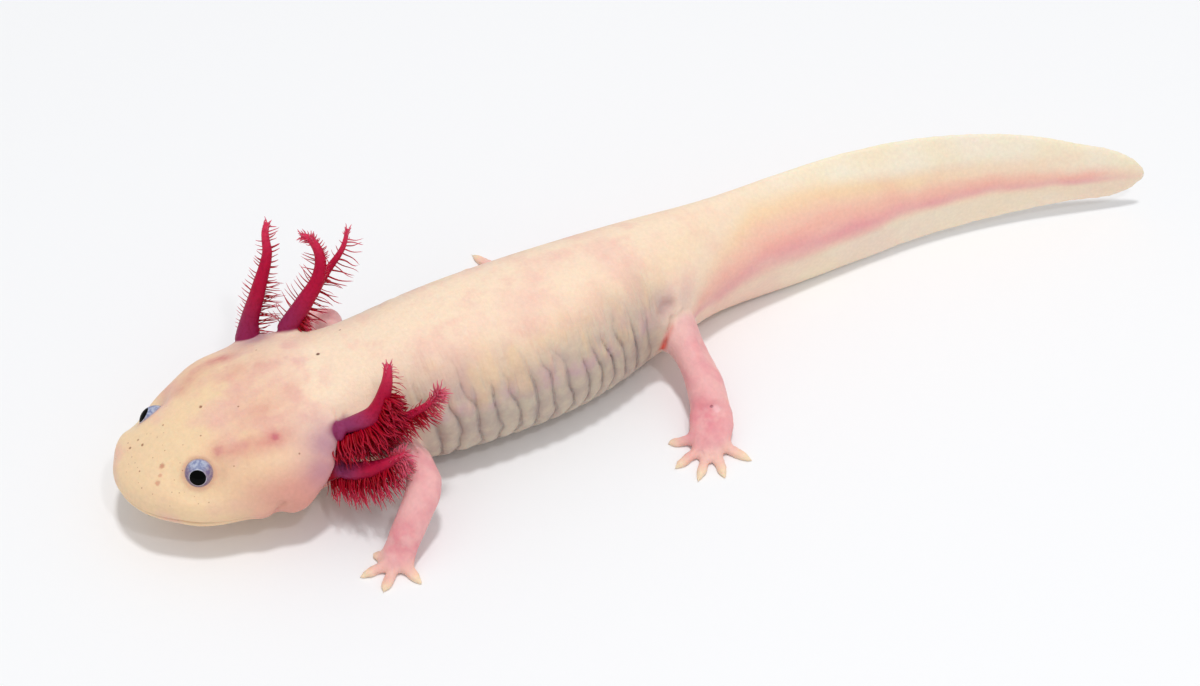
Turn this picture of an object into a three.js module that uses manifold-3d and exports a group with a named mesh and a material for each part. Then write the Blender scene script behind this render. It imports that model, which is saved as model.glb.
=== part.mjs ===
// A life-size axolotl, as a museum shows it: crawling on its belly with the head a little raised,
// the six feathery gills spread and the tail curving gently to the left.
//
// Millimetres, +Z up. The head points to -X, the tail to +X and the animal's left side to -Y.
// The body is one loft through named stations. Thin cuts part it into head, lower jaw, neck, trunk,
// three lengths of tail and its two fins. Legs, feet and gills are lofts of their own, and with the
// eyes they stop short of it.
import * as THREE from "three";
import { ParametricGeometry } from "three/addons/geometries/ParametricGeometry.js";
import { mergeVertices } from "three/addons/utils/BufferGeometryUtils.js";
import Module from "manifold-3d";

const wasm = await Module();
wasm.setup();

// ---------------------------------------------------------------- driving dimensions
const GAP = 0.3; // between neighbouring pieces
const BODY_SIDES = 22; // points round the body
const LIMB_SIDES = 10;
const TOE_SIDES = 5;
const HUGE = 400; // larger than the animal, for cutting boxes

// Stations along the body. x and y place the midline on the floor plan, half is the half width,
// back, level and belly are the heights of the top, the widest line and the underside.
// crest and keel say how quickly the body thins above and below the widest line: under 1 is full
// and square, 1 is round, and over 2 is a fin. lean tips the section to the animal's right, in degrees.
const STATION_KEYS = ["name", "x", "y", "half", "back", "level", "belly", "crest", "keel", "lean"];
const STATIONS = [
  ["snout", -99, 12.4, 10.2, 17.0, 11.8, 7.6, 0.95, 0.8, 0],
  ["nostrils", -93, 12.1, 13.2, 18.6, 11.4, 6.9, 0.97, 0.8, 0],
  ["eyes", -86, 11.8, 15.9, 20.8, 11.0, 6.0, 1.02, 0.8, 0],
  ["mouth corner", -77, 12.1, 19.1, 22.8, 10.8, 5.0, 1.04, 0.8, 0],
  ["cheeks", -68, 12.2, 20.8, 24.0, 11.0, 3.8, 1.04, 0.8, 0],
  ["gill base", -60.5, 12.8, 19.0, 24.8, 11.6, 2.6, 1.0, 0.8, 0],
  ["neck", -53, 11.6, 15.6, 25.4, 12.0, 1.2, 0.95, 0.8, 0],
  ["shoulders", -43, 9.8, 16.4, 27.4, 12.8, -0.3, 0.95, 0.78, 0],
  ["chest", -30, 8.0, 17.4, 29.6, 13.6, -0.6, 0.95, 0.76, 0],
  ["belly", -10, 7.0, 17.2, 30.2, 14.0, -0.7, 0.96, 0.76, 0],
  ["flank", 7, 8.0, 14.4, 29.3, 14.2, -0.6, 1.0, 0.8, 1],
  ["hips", 20, 8.8, 11.8, 28.0, 14.2, -0.3, 1.15, 0.95, 3],
  ["vent", 32, 8.0, 9.2, 27.3, 13.6, -0.2, 1.6, 1.4, 9],
  ["tail root", 48, 5.8, 6.8, 26.8, 12.6, -0.2, 2.2, 2.0, 16],
  ["tail", 66, 4.4, 5.0, 26.4, 12.0, -0.2, 2.8, 2.6, 16],
  ["deep fin", 84, 2.9, 3.6, 24.6, 11.8, 0.6, 3.2, 3.0, 12],
  ["thin tail", 102, -0.8, 2.5, 21.4, 11.2, 1.8, 3.2, 3.0, 9],
  ["fin end", 119, -6.0, 1.8, 17.0, 9.8, 3.2, 3.0, 3.0, 6],
  ["tail tip", 132.4, -11.0, 1.2, 12.8, 8.2, 4.2, 2.4, 2.4, 4],
].map((row) => Object.fromEntries(row.map((value, i) => [STATION_KEYS[i], value])));
const FIN_HALF = 0.75; // half thickness at the foot of the fin's edge
const SNOUT_REACH = 15; // length over which the snout rounds off
const TIP_REACH = 14; // the same at the tail's tip
const SNOUT_BLUNTNESS = { plan: 2.2, profile: 2.5 }; // 2 is a round end, more is blunter
const RING_STEP = 6; // between rings on the trunk and tail
const DOME_RINGS = 5; // in each rounded end

// Where thin cuts part the body, in x.
const CUTS = { headToNeck: -57.5, neckToTrunk: -45.5, trunkToTail: 30, tailBend: 66, tailThin: 100 };

// Heights of the two cuts that part the fins from the tail's core, from its root to its tip.
const UPPER_FIN_FOOT = [
  [30, 25.2], [48, 21.6], [66, 18.6], [84, 16.6], [102, 14.6], [119, 12.2], [140, 8.6],
];
const LOWER_FIN_FOOT = [
  [30, 1.6], [48, 3.6], [66, 5.2], [84, 6.4], [102, 7.4], [119, 7.4], [140, 6.8],
];

// The mouth line from the front to its corner, and how far back the jaw's rear cut rakes.
const MOUTH = { cornerX: -75.5, cornerZ: 9.6, frontZ: 10.6, sag: 0.7, thickness: GAP, rake: 5 };
const EYE = { x: -86, lead: 0.9, aside: 9.7, z: 16.7, radius: 3.1, sides: 10, rings: 8 };

const v3 = (x, y, z) => new THREE.Vector3(x, y, z);
const UP = v3(0, 0, 1);

// ---------------------------------------------------------------- solids and meshes
function solidOf(geometry) {
  const bare = new THREE.BufferGeometry();
  bare.setAttribute("position", geometry.getAttribute("position"));
  if (geometry.index) bare.setIndex(geometry.index);
  const merged = mergeVertices(bare, 1e-4);
  const corners = [];
  const index = merged.index.array;
  for (let i = 0; i < index.length; i += 3) {
    const [a, b, c] = index.subarray(i, i + 3);
    if (a !== b && b !== c && a !== c) corners.push(a, b, c);
  }
  const mesh = new wasm.Mesh({
    numProp: 3,
    vertProperties: merged.attributes.position.array,
    triVerts: new Uint32Array(corners),
  });
  return new wasm.Manifold(mesh);
}

function geometryOf(solid) {
  const mesh = solid.getMesh();
  const position = new Float32Array(mesh.numVert * 3);
  for (let i = 0; i < mesh.numVert; i++) {
    position.set(mesh.vertProperties.subarray(i * mesh.numProp, i * mesh.numProp + 3), i * 3);
  }
  const geometry = new THREE.BufferGeometry();
  geometry.setAttribute("position", new THREE.BufferAttribute(position, 3));
  geometry.setIndex(new THREE.BufferAttribute(mesh.triVerts, 1));
  geometry.computeVertexNormals();
  return geometry;
}

function box(low, high) {
  const size = new THREE.Vector3().subVectors(high, low);
  const geometry = new THREE.BoxGeometry(size.x, size.y, size.z);
  geometry.translate(low.x + size.x / 2, low.y + size.y / 2, low.z + size.z / 2);
  return solidOf(geometry);
}

const floorBlock = box(new THREE.Vector3(-HUGE, -HUGE, -HUGE), new THREE.Vector3(HUGE, HUGE, 0));

// The part of a solid between two cuts across the body, half a gap back from each.
function between(solid, fromX, toX) {
  const low = new THREE.Vector3(fromX + GAP / 2, -HUGE, -HUGE);
  const high = new THREE.Vector3(toX - GAP / 2, HUGE, HUGE);
  return solid.intersect(box(low, high));
}

// A closed loft. point(ring, corner, target) gives each corner of ring 0 to rings, and the first and
// last rings have no size, so that they close the ends.
function loft(rings, sides, point) {
  const surface = (u, v, target) => point(Math.round(v * rings), Math.round(u * sides) % sides, target);
  return solidOf(new ParametricGeometry(surface, sides, rings));
}

// ---------------------------------------------------------------- the body
function channel(keys) {
  const points = STATIONS.map((s) => new THREE.Vector3(s[keys[0]], s[keys[1]], s[keys[2]]));
  return new THREE.CatmullRomCurve3(points, false, "catmullrom", 0.5);
}
const plan = channel(["x", "y", "half"]);
const heights = channel(["back", "level", "belly"]);
const fullness = channel(["crest", "keel", "lean"]);
const FRONT = STATIONS[0].x;
const REAR = STATIONS[STATIONS.length - 1].x;

// The curve parameter whose x is the one asked for: x only grows along the body.
function parameterAt(x) {
  let low = 0;
  let high = 1;
  for (let i = 0; i < 40; i++) {
    const middle = (low + high) / 2;
    if (plan.getPoint(middle).x < x) low = middle;
    else high = middle;
  }
  return (low + high) / 2;
}

// 0 at an end of the body, growing to 1 over reach as a quarter ellipse does.
function rounding(distance, reach, bluntness) {
  const left = Math.max(0, 1 - distance / reach);
  return Math.pow(1 - Math.pow(left, bluntness), 1 / bluntness);
}

function sectionAt(x) {
  const t = parameterAt(x);
  const [p, h, f] = [plan.getPoint(t), heights.getPoint(t), fullness.getPoint(t)];
  const tip = rounding(REAR - x, TIP_REACH, 2);
  const close = rounding(x - FRONT, SNOUT_REACH, SNOUT_BLUNTNESS.plan) * tip;
  const blunt = rounding(x - FRONT, SNOUT_REACH, SNOUT_BLUNTNESS.profile) * tip;
  const ahead = plan.getTangent(t);
  return {
    centre: new THREE.Vector2(p.x, p.y),
    aside: new THREE.Vector2(-ahead.y, ahead.x).normalize(),
    half: p.z * close,
    rise: (h.x - h.y) * blunt,
    drop: (h.y - h.z) * blunt,
    level: h.y,
    crest: f.x,
    keel: f.y,
    lean: THREE.MathUtils.degToRad(f.z),
    fin: Math.min(FIN_HALF, p.z) * close,
  };
}

function bodyPoint(s, angle, grow, target) {
  const c = Math.cos(angle);
  const n = Math.sin(angle);
  const thinning = n > 0 ? s.crest : s.keel;
  const edge = s.fin * Math.pow(Math.abs(c), 0.5);
  const core = (s.half - s.fin) * Math.pow(Math.abs(c), thinning);
  const out = Math.sign(c) * (edge + core + grow * Math.abs(c));
  const up = s.level + n * ((n > 0 ? s.rise : s.drop) + grow);
  const side = out * Math.cos(s.lean) + up * Math.sin(s.lean);
  const height = up * Math.cos(s.lean) - out * Math.sin(s.lean);
  return target.set(s.centre.x + s.aside.x * side, s.centre.y + s.aside.y * side, height);
}

function ringPlaces() {
  const places = [];
  for (let i = 0; i < DOME_RINGS; i++) {
    places.push(FRONT + SNOUT_REACH * (1 - Math.cos((i / DOME_RINGS) * (Math.PI / 2))));
  }
  const [from, to] = [FRONT + SNOUT_REACH, REAR - TIP_REACH];
  const steps = Math.round((to - from) / RING_STEP);
  for (let i = 0; i <= steps; i++) places.push(from + ((to - from) * i) / steps);
  for (let i = DOME_RINGS - 1; i >= 0; i--) {
    places.push(REAR - TIP_REACH * (1 - Math.cos((i / DOME_RINGS) * (Math.PI / 2))));
  }
  return places;
}

function body(grow) {
  const places = ringPlaces();
  const sections = places.map(sectionAt);
  return loft(places.length - 1, BODY_SIDES, (ring, corner, target) => {
    const angle = (corner / BODY_SIDES) * 2 * Math.PI;
    const atEnd = ring === 0 || ring === places.length - 1;
    return bodyPoint(sections[ring], angle, atEnd ? 0 : grow, target);
  });
}

// ---------------------------------------------------------------- limbs, toes and gills
const LEAST_TIP = 0.35; // share of its size that a rounded end keeps at its flat

// The value that a list spread evenly over a length has at a share of it.
function sizeAt(list, share) {
  const place = share * (list.length - 1);
  const i = Math.min(Math.floor(place), list.length - 2);
  return THREE.MathUtils.lerp(list[i], list[i + 1], place - i);
}

// A tube of oval section along a curve. Its ends are flat, or the far one rounded where asked.
// across and thick are half sizes along the tube, in equal steps.
function tube({ path, across, thick, rings, sides, roundEnd = false }) {
  const curve = new THREE.CatmullRomCurve3(path, false, "centripetal");
  return loft(rings + 2, sides, (ring, corner, target) => {
    const angle = (corner / sides) * 2 * Math.PI;
    const flat = ring === 0 || ring === rings + 2;
    const step = Math.min(Math.max(ring - 1, 0), rings) / rings;
    const share = roundEnd ? Math.sin((step * Math.PI) / 2) : step;
    const centre = curve.getPointAt(share);
    const ahead = curve.getTangentAt(share);
    const side = new THREE.Vector3().crossVectors(UP, ahead).normalize();
    const over = new THREE.Vector3().crossVectors(ahead, side);
    const tip = roundEnd ? Math.sqrt(Math.max(0, 1 - Math.pow(step, 6))) : 1;
    const size = flat ? 0 : Math.max(tip, LEAST_TIP);
    target.copy(centre);
    target.addScaledVector(side, Math.cos(angle) * sizeAt(across, share) * size);
    return target.addScaledVector(over, Math.sin(angle) * sizeAt(thick, share) * size);
  });
}

// Each limb runs shoulder or hip, elbow or knee, wrist or ankle, and the middle of the palm or sole.
// upper and lower hold half widths from root to end, thickLower the lower limb's half thicknesses,
// palm the foot's half width and web its half thickness.
const FORE = {
  upper: [4.2, 3.7, 3.4], lower: [3.4, 3.4, 3.4], thickLower: [3.2, 3.0, 2.2], palm: 3.8, web: 1.5,
};
const HIND = {
  upper: [5.4, 4.8, 4.1], lower: [4.0, 4.1, 4.4], thickLower: [3.6, 3.2, 2.4], palm: 4.8, web: 1.6,
};
const FORE_TOES = [
  { turn: -78, reach: 5.8 },
  { turn: -30, reach: 8.8 },
  { turn: 14, reach: 8.6 },
  { turn: 74, reach: 8.0 },
];
const HIND_TOES = [
  { turn: -80, reach: 9.4 },
  { turn: -37, reach: 11.4 },
  { turn: -6, reach: 11.9 },
  { turn: 23, reach: 11.0 },
  { turn: 68, reach: 10.3 },
];
// The right hind foot is pushed back, which spreads its last two toes.
const SPREAD_TOES = [...HIND_TOES.slice(0, 3), { turn: 23, reach: 12.6 }, { turn: 95, reach: 8.6 }];
const LIMBS = {
  front_left: {
    build: FORE, toes: FORE_TOES, hand: 1, heading: 208,
    joints: [v3(-50, 0, 10.5), v3(-47.2, -14.6, 12), v3(-55.4, -21.2, 4.2), v3(-57.2, -22.2, 2.0)],
  },
  front_right: {
    build: FORE, toes: FORE_TOES, hand: -1, heading: 165,
    joints: [v3(-50, 20, 10.5), v3(-45, 35, 11), v3(-52.4, 38.6, 4.2), v3(-54.4, 39.8, 2)],
  },
  hind_left: {
    build: HIND, toes: HIND_TOES, hand: 1, heading: 230,
    joints: [v3(14.5, 3, 12), v3(16.4, -8.4, 9.6), v3(13.8, -20.2, 4.2), v3(11, -25.4, 2.2)],
  },
  hind_right: {
    build: HIND, toes: SPREAD_TOES, hand: -1, heading: 130,
    joints: [v3(19, 14, 13), v3(16, 27.5, 9.5), v3(4.6, 34.2, 4.2), v3(-1, 37.5, 2.2)],
  },
};
const KNEE_SHARE = 0.52; // where the cut at elbow or knee lies along the limb
const LEG_RINGS = 8;
const TOE = { root: 1.45, tip: 0.85, joint: 0.62, rings: 2 }; // half sizes, and the joint's share of it
const PALM = { above: 0.3, front: 0.75, frontShare: 0.8, rings: 3 };
const SOLE_DIP = 0.25; // how far soles and toes reach below the floor before they are cut flat

// All that lies beyond a plane, from half a gap on.
function beyond(point, direction) {
  const block = new THREE.BoxGeometry(HUGE, HUGE, HUGE);
  block.translate((HUGE + GAP) / 2, 0, 0);
  block.applyQuaternion(new THREE.Quaternion().setFromUnitVectors(v3(1, 0, 0), direction));
  block.translate(point.x, point.y, point.z);
  return solidOf(block);
}

// Parts a solid in two with a thin cut where a curve has a share of its length behind it.
function partAt(solid, curve, share) {
  const [point, direction] = [curve.getPointAt(share), curve.getTangentAt(share)];
  const before = solid.intersect(beyond(point, direction.clone().negate()));
  return [before, solid.intersect(beyond(point, direction))];
}

// Palm or sole with its toes, from above the wrist on.
function foot({ build, toes, hand, heading, joints }) {
  const [, , wrist, sole] = joints;
  const forward = v3(1, 0, 0).applyAxisAngle(UP, THREE.MathUtils.degToRad(heading));
  const front = sole.clone().addScaledVector(forward, build.palm * PALM.front).setZ(build.web - SOLE_DIP);
  let solid = tube({
    path: [wrist.clone().lerp(sole, -PALM.above), sole, front],
    across: [build.lower[2], build.palm, build.palm * PALM.frontShare],
    thick: [build.thickLower[2], build.web + 0.3, build.web],
    rings: PALM.rings, sides: LIMB_SIDES, roundEnd: true,
  });
  for (const { turn, reach } of toes) {
    const along = forward.clone().applyAxisAngle(UP, THREE.MathUtils.degToRad(hand * turn));
    const at = (length, height) => sole.clone().addScaledVector(along, length).setZ(height - SOLE_DIP);
    solid = solid.add(tube({
      path: [
        at(build.palm * PALM.front, TOE.root),
        at(reach * TOE.joint, TOE.root * 0.9),
        at(reach, TOE.tip * 0.9),
      ],
      across: [TOE.root, TOE.root * 0.95, TOE.tip],
      thick: [TOE.root, TOE.root * 0.85, TOE.tip * 0.9],
      rings: TOE.rings, sides: TOE_SIDES, roundEnd: true,
    }));
  }
  return solid;
}

// The leg without its foot, grown on all sides where asked.
function leg({ build, joints }, grow) {
  const wider = (list) => list.map((size) => size + grow);
  const across = wider([...build.upper, ...build.lower]);
  const thick = wider([...build.upper, ...build.thickLower]);
  return tube({ path: joints, across, thick, rings: LEG_RINGS, sides: LIMB_SIDES });
}

// A leg parted at its knee or elbow and at its ankle or wrist.
function limb(name, form) {
  const [, , wrist, sole] = form.joints;
  const curve = new THREE.CatmullRomCurve3(form.joints, false, "centripetal");
  const ankleShare = 1 - wrist.distanceTo(sole) / curve.getLength();
  const [shank] = partAt(leg(form, 0), curve, ankleShare);
  const [upper, lower] = partAt(shank, curve, KNEE_SHARE);
  return {
    [`${name}_upper`]: upper,
    [`${name}_lower`]: lower,
    [`${name}_foot`]: partAt(foot(form), curve, ankleShare)[1],
  };
}

// Each gill's stalk runs from inside the back of the head through a bend to its tip. Two rows of
// filaments hang from it, each turned so many degrees from rear. Here a row is one thin comb with a
// tooth to each few filaments, and both combs and their stalk are one loft.
const STALK = [2.2, 2.05, 1.8, 1.35, 0.8]; // radius from root to tip
const STALK_FRONT = 1.9; // turn of the two corners on the bare side of the stalk, in radians
// first is the share of the stalk that is bare, valley the depth between teeth, sweep how far a tooth
// leans to the tip, thick the comb's edge and foot half its footing on the stalk, in degrees.
const COMB = {
  teeth: 7, first: 0.3, longest: 5.3, shortest: 1.2, valley: 0.7, sweep: 1.2, thick: 0.55, foot: 16,
};
const BOTH_ROWS = [{ turn: -56, reach: 1 }, { turn: 56, reach: 1 }];
const GILLS = {
  gill_left_upper: {
    path: [
      v3(-62, 4, 13.5), v3(-57.8, 0, 17), v3(-54.7, -2.8, 20),
      v3(-49.4, -4.3, 27), v3(-48.1, -3.8, 34),
    ],
    rear: v3(0.5, -0.5, -0.8), rows: BOTH_ROWS,
  },
  gill_left_middle: {
    path: [
      v3(-63, 3, 10), v3(-59.2, -2.9, 13.2), v3(-54.4, -5.8, 16.5),
      v3(-44.2, -9.6, 24), v3(-39.9, -10.5, 28),
    ],
    rear: v3(0.3, -0.5, -1), rows: BOTH_ROWS,
  },
  gill_left_lower: {
    path: [
      v3(-64, 1, 8.8), v3(-60.6, -4.2, 9.8), v3(-57.2, -7.8, 12),
      v3(-53.4, -10.8, 14.4), v3(-48.8, -12.9, 16.4),
    ],
    rear: v3(0.1, -0.4, -1), rows: [{ turn: -56, reach: 1.1 }, { turn: 56, reach: 1.1 }],
  },
  gill_right_upper: {
    path: [
      v3(-61, 22, 14), v3(-56.5, 25.5, 20), v3(-51.9, 25.5, 27),
      v3(-46.7, 28.1, 34), v3(-48, 31.5, 38),
    ],
    rear: v3(0.5, 0.6, -0.6), rows: [{ turn: -70, reach: 1 }, { turn: 60, reach: 0.55 }],
  },
  gill_right_middle: {
    path: [
      v3(-62, 23, 12), v3(-56, 28.2, 15.5), v3(-49, 28.2, 20.5),
      v3(-41.7, 31.2, 28.5), v3(-37.5, 33.5, 33),
    ],
    rear: v3(0.5, 0.5, -0.7), rows: [{ turn: -56, reach: 1 }, { turn: 56, reach: 0.8 }],
  },
  gill_right_lower: {
    path: [
      v3(-65, 24, 11), v3(-63, 30.4, 19), v3(-59, 31.4, 28),
      v3(-54.7, 35.3, 36), v3(-54.5, 38.2, 38.5),
    ],
    rear: v3(0.6, 0.7, -0.5), rows: [{ turn: -56, reach: 0.65 }, { turn: 56, reach: 0.6 }],
  },
};

function toothLength(step) {
  if (step < COMB.first) return 0;
  const along = (step - COMB.first) / (1 - COMB.first);
  return THREE.MathUtils.lerp(COMB.shortest, COMB.longest, Math.sin(Math.PI * (0.12 + 0.8 * along)));
}

// A comb's four corners in the section: the two at its foot lie on the stalk, and the outer two are
// its thin edge. All turns are measured from rear.
function combCorners({ turn, reach }) {
  const foot = (side) => ({ turn: THREE.MathUtils.degToRad(turn + side * COMB.foot), reach: 0, edge: 0 });
  const edge = (side) => ({ turn: THREE.MathUtils.degToRad(turn), reach, edge: side });
  return [foot(-1), edge(-1), edge(1), foot(1)];
}

function gill({ path, rear, rows }) {
  const curve = new THREE.CatmullRomCurve3(path, false, "centripetal");
  const rings = Math.round((2 * COMB.teeth) / (1 - COMB.first));
  const front = [STALK_FRONT, -STALK_FRONT].map((turn) => ({ turn, reach: 0, edge: 0 }));
  const corners = [...combCorners(rows[1]), ...front, ...combCorners(rows[0])];
  return loft(rings + 2, corners.length, (ring, corner, target) => {
    const step = Math.min(Math.max(ring - 1, 0), rings) / rings;
    const ahead = curve.getTangentAt(step);
    const back = rear.clone().addScaledVector(ahead, -rear.dot(ahead)).normalize();
    const flat = new THREE.Vector3().crossVectors(ahead, back);
    target.copy(curve.getPointAt(step));
    if (ring === 0 || ring === rings + 2) return target;
    const { turn, reach, edge } = corners[corner];
    const out = back.clone().multiplyScalar(Math.cos(turn)).addScaledVector(flat, Math.sin(turn));
    target.addScaledVector(out, sizeAt(STALK, step));
    if (edge === 0) return target;
    const tooth = ring % 2 === 0 ? toothLength(step) * reach : 0;
    target.addScaledVector(out, COMB.valley + tooth);
    target.addScaledVector(ahead, (tooth / COMB.longest) * COMB.sweep);
    return target.addScaledVector(new THREE.Vector3().crossVectors(ahead, out), (edge * COMB.thick) / 2);
  });
}

// ---------------------------------------------------------------- eyes and mouth
function ball(centre, radius) {
  const sphere = new THREE.SphereGeometry(radius, EYE.sides, EYE.rings);
  sphere.translate(centre.x, centre.y, centre.z);
  return solidOf(sphere);
}

function eyeCentre(hand) {
  const { centre } = sectionAt(EYE.x);
  return v3(EYE.x - hand * EYE.lead, centre.y + hand * EYE.aside, EYE.z);
}

// All that lies above (or below, where depth is negative) a curve of heights along the tail.
function spaceBeside(heights, lift, depth) {
  const spline = new THREE.SplineCurve(heights.map(([x, z]) => new THREE.Vector2(x, z + lift)));
  const outline = new THREE.Shape(spline.getPoints(heights.length * 2));
  outline.lineTo(heights[heights.length - 1][0], depth);
  outline.lineTo(heights[0][0], depth);
  return acrossBody(outline);
}

// An outline drawn in x and z, made wide enough to cut right across the body.
function acrossBody(outline) {
  const slab = new THREE.ExtrudeGeometry(outline, { depth: 2 * HUGE, bevelEnabled: false, curveSegments: 8 });
  slab.rotateX(Math.PI / 2);
  slab.translate(0, HUGE, 0);
  return solidOf(slab);
}

// The space of the lower jaw: under the mouth line, from the snout back to the corners.
function jawSpace(lower) {
  const outline = new THREE.Shape();
  const front = FRONT - 5;
  outline.moveTo(front, MOUTH.frontZ - lower);
  const [cornerX, cornerZ] = [MOUTH.cornerX - lower, MOUTH.cornerZ - lower];
  outline.quadraticCurveTo((front + cornerX) / 2, MOUTH.frontZ - 2 * MOUTH.sag - lower, cornerX, cornerZ);
  outline.lineTo(cornerX + MOUTH.rake, -1);
  outline.lineTo(front, -1);
  return acrossBody(outline);
}

// ---------------------------------------------------------------- putting it together
const whole = body(0);
const clearance = body(GAP);
const pieces = {};

let head = between(whole, FRONT - 10, CUTS.headToNeck);
for (const [name, hand] of [["eye_left", -1], ["eye_right", 1]]) {
  pieces[name] = ball(eyeCentre(hand), EYE.radius);
  head = head.subtract(ball(eyeCentre(hand), EYE.radius + GAP));
}
pieces.lower_jaw = head.intersect(jawSpace(MOUTH.thickness));
pieces.head = head.subtract(jawSpace(0));
pieces.neck = between(whole, CUTS.headToNeck, CUTS.neckToTrunk);
pieces.trunk = between(whole, CUTS.neckToTrunk, CUTS.trunkToTail);
const tail = between(whole, CUTS.trunkToTail, REAR + 10);
const finSpace = spaceBeside(UPPER_FIN_FOOT, 0, HUGE).add(spaceBeside(LOWER_FIN_FOOT, 0, -HUGE));
const core = tail.subtract(finSpace);
pieces.tail_base = between(core, CUTS.trunkToTail, CUTS.tailBend);
pieces.tail_middle = between(core, CUTS.tailBend, CUTS.tailThin);
pieces.tail_tip = between(core, CUTS.tailThin, REAR + 10);
pieces.tail_fin_upper = tail.intersect(spaceBeside(UPPER_FIN_FOOT, GAP, HUGE));
pieces.tail_fin_lower = tail.intersect(spaceBeside(LOWER_FIN_FOOT, -GAP, -HUGE));

for (const [name, form] of Object.entries(LIMBS)) {
  for (const [node, solid] of Object.entries(limb(name, form))) pieces[node] = solid.subtract(clearance);
}
const sleeves = leg(LIMBS.front_left, GAP).add(leg(LIMBS.front_right, GAP));
for (const [name, form] of Object.entries(GILLS)) {
  pieces[name] = gill(form).subtract(clearance).subtract(sleeves);
}

const COLOURS = {
  skin: { color: 0xecd2b4, roughness: 0.42 },
  limb: { color: 0xe3a5a4, roughness: 0.42 },
  gill: { color: 0xa01538, roughness: 0.35 },
  eye: { color: 0x14141c, roughness: 0.08 },
};
function colourOf(name) {
  if (name.startsWith("eye")) return COLOURS.eye;
  if (name.startsWith("gill")) return COLOURS.gill;
  return /^(front|hind)_/.test(name) ? COLOURS.limb : COLOURS.skin;
}

const axolotl = new THREE.Group();
for (const [name, solid] of Object.entries(pieces)) {
  const resting = solid.subtract(floorBlock);
  const finish = new THREE.MeshStandardMaterial({ metalness: 0, ...colourOf(name) });
  const mesh = new THREE.Mesh(geometryOf(resting), finish);
  mesh.name = name;
  axolotl.add(mesh);
}

// The origin is on the floor, under the middle of the whole animal.
const extent = new THREE.Box3().setFromObject(axolotl);
const middle = extent.getCenter(new THREE.Vector3());
axolotl.position.set(-middle.x, -middle.y, -extent.min.z);

export default axolotl;
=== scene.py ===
"""A life-size axolotl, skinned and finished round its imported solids.

Everything is in metres in the part's own frame. The head points to -X, the tail to +X and the
animal's left side to -Y, and it lies on the floor at z = 0.
"""

import math
from collections import namedtuple

import bmesh
import bpy
import numpy as np
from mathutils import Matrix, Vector
from mathutils.bvhtree import BVHTree
from mathutils.geometry import interpolate_bezier


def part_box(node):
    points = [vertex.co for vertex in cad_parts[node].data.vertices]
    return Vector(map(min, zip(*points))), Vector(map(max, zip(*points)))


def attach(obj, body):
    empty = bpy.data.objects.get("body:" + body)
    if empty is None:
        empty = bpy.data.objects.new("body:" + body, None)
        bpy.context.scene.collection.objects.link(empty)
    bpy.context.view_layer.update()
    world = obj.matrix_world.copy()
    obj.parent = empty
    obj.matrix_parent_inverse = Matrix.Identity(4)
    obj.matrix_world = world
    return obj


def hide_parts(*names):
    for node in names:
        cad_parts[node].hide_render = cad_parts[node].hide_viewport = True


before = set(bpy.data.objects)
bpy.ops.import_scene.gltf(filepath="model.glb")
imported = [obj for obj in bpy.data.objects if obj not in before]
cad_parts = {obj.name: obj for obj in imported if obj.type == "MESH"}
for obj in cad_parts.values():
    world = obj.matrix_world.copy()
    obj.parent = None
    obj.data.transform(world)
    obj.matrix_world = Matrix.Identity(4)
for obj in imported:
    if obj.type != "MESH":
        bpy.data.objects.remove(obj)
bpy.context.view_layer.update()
MM = 0.001

# ---------------------------------------------------------------- names and places
SIDES = {"left": -1, "right": 1}
BODY_NODES = ["head", "lower_jaw", "neck", "trunk", "tail_base", "tail_middle", "tail_tip",
              "tail_fin_upper", "tail_fin_lower"]
LIMBS = [f"{end}_{side}" for end in ("front", "hind") for side in SIDES]
LEG_NODES = [f"{limb}_{part}" for limb in LIMBS for part in ("upper", "lower")]
FOOT_NODES = [f"{limb}_foot" for limb in LIMBS]
LIMB_NODES = [f"{limb}_{part}" for limb in LIMBS for part in ("upper", "lower", "foot")]
EYES = {side: f"eye_{side}" for side in SIDES}

HEAD_LOW, HEAD_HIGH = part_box("head")
SNOUT = HEAD_LOW.x
MIDLINE = (HEAD_LOW.y + HEAD_HIGH.y) / 2


def spot(back, aside, up):
    """A point so many millimetres back from the snout, to the right of the head's midline, and up."""
    return Vector((SNOUT + back * MM, MIDLINE + aside * MM, up * MM))


# ---------------------------------------------------------------- sizes, in millimetres
VOXEL = 0.54
FOOT_VOXEL = 0.45
KEPT_SHARE = 0.64  # of the skin's faces, once the plain parts are thinned out
# The mesh stays fine on the gills and feet, and is made finer on the rest, within these distances.
FINE_WITHIN = {"gills": 3, "feet": 0.8, "lips": 2.2, "gill covers": 2.5, "eyes": 5.5}
GROWTH = 0.25  # closes the narrow cuts between the solids, and is taken off again
SMOOTHING = {"share": 0.13, "least": 0.4, "most": 3.0, "rounds": 90}  # its reach by local thickness
TAIL_SMOOTHING = 0.9  # least reach of the smoothing on the tail, whose fins have thin edges
FLOOR_GAP = 0.02  # keeps flat undersides off the floor's own plane
JOINT_CREASE = 0.35  # how deep the skin folds in where a limb leaves the body

WEB = 0.1  # radius of the hollows between the roots of the toes
# Makes the toes clearer and the gaps between them deeper, and takes the burrs off the tips.
TOE_SHARPENING = {"rounds": 20, "strength": 0.8, "gaps": 2.0, "tip_rounds": 4}
TOE_FULLNESS = {"at": [0.3, 0.5, 0.7, 0.9, 1.05], "rise": [0.15, 0.1, 0.1, 0.22, 0.2]}  # from palm to tip
TOE_SETTLING = 0.4  # how far soft toes settle onto the floor

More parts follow.
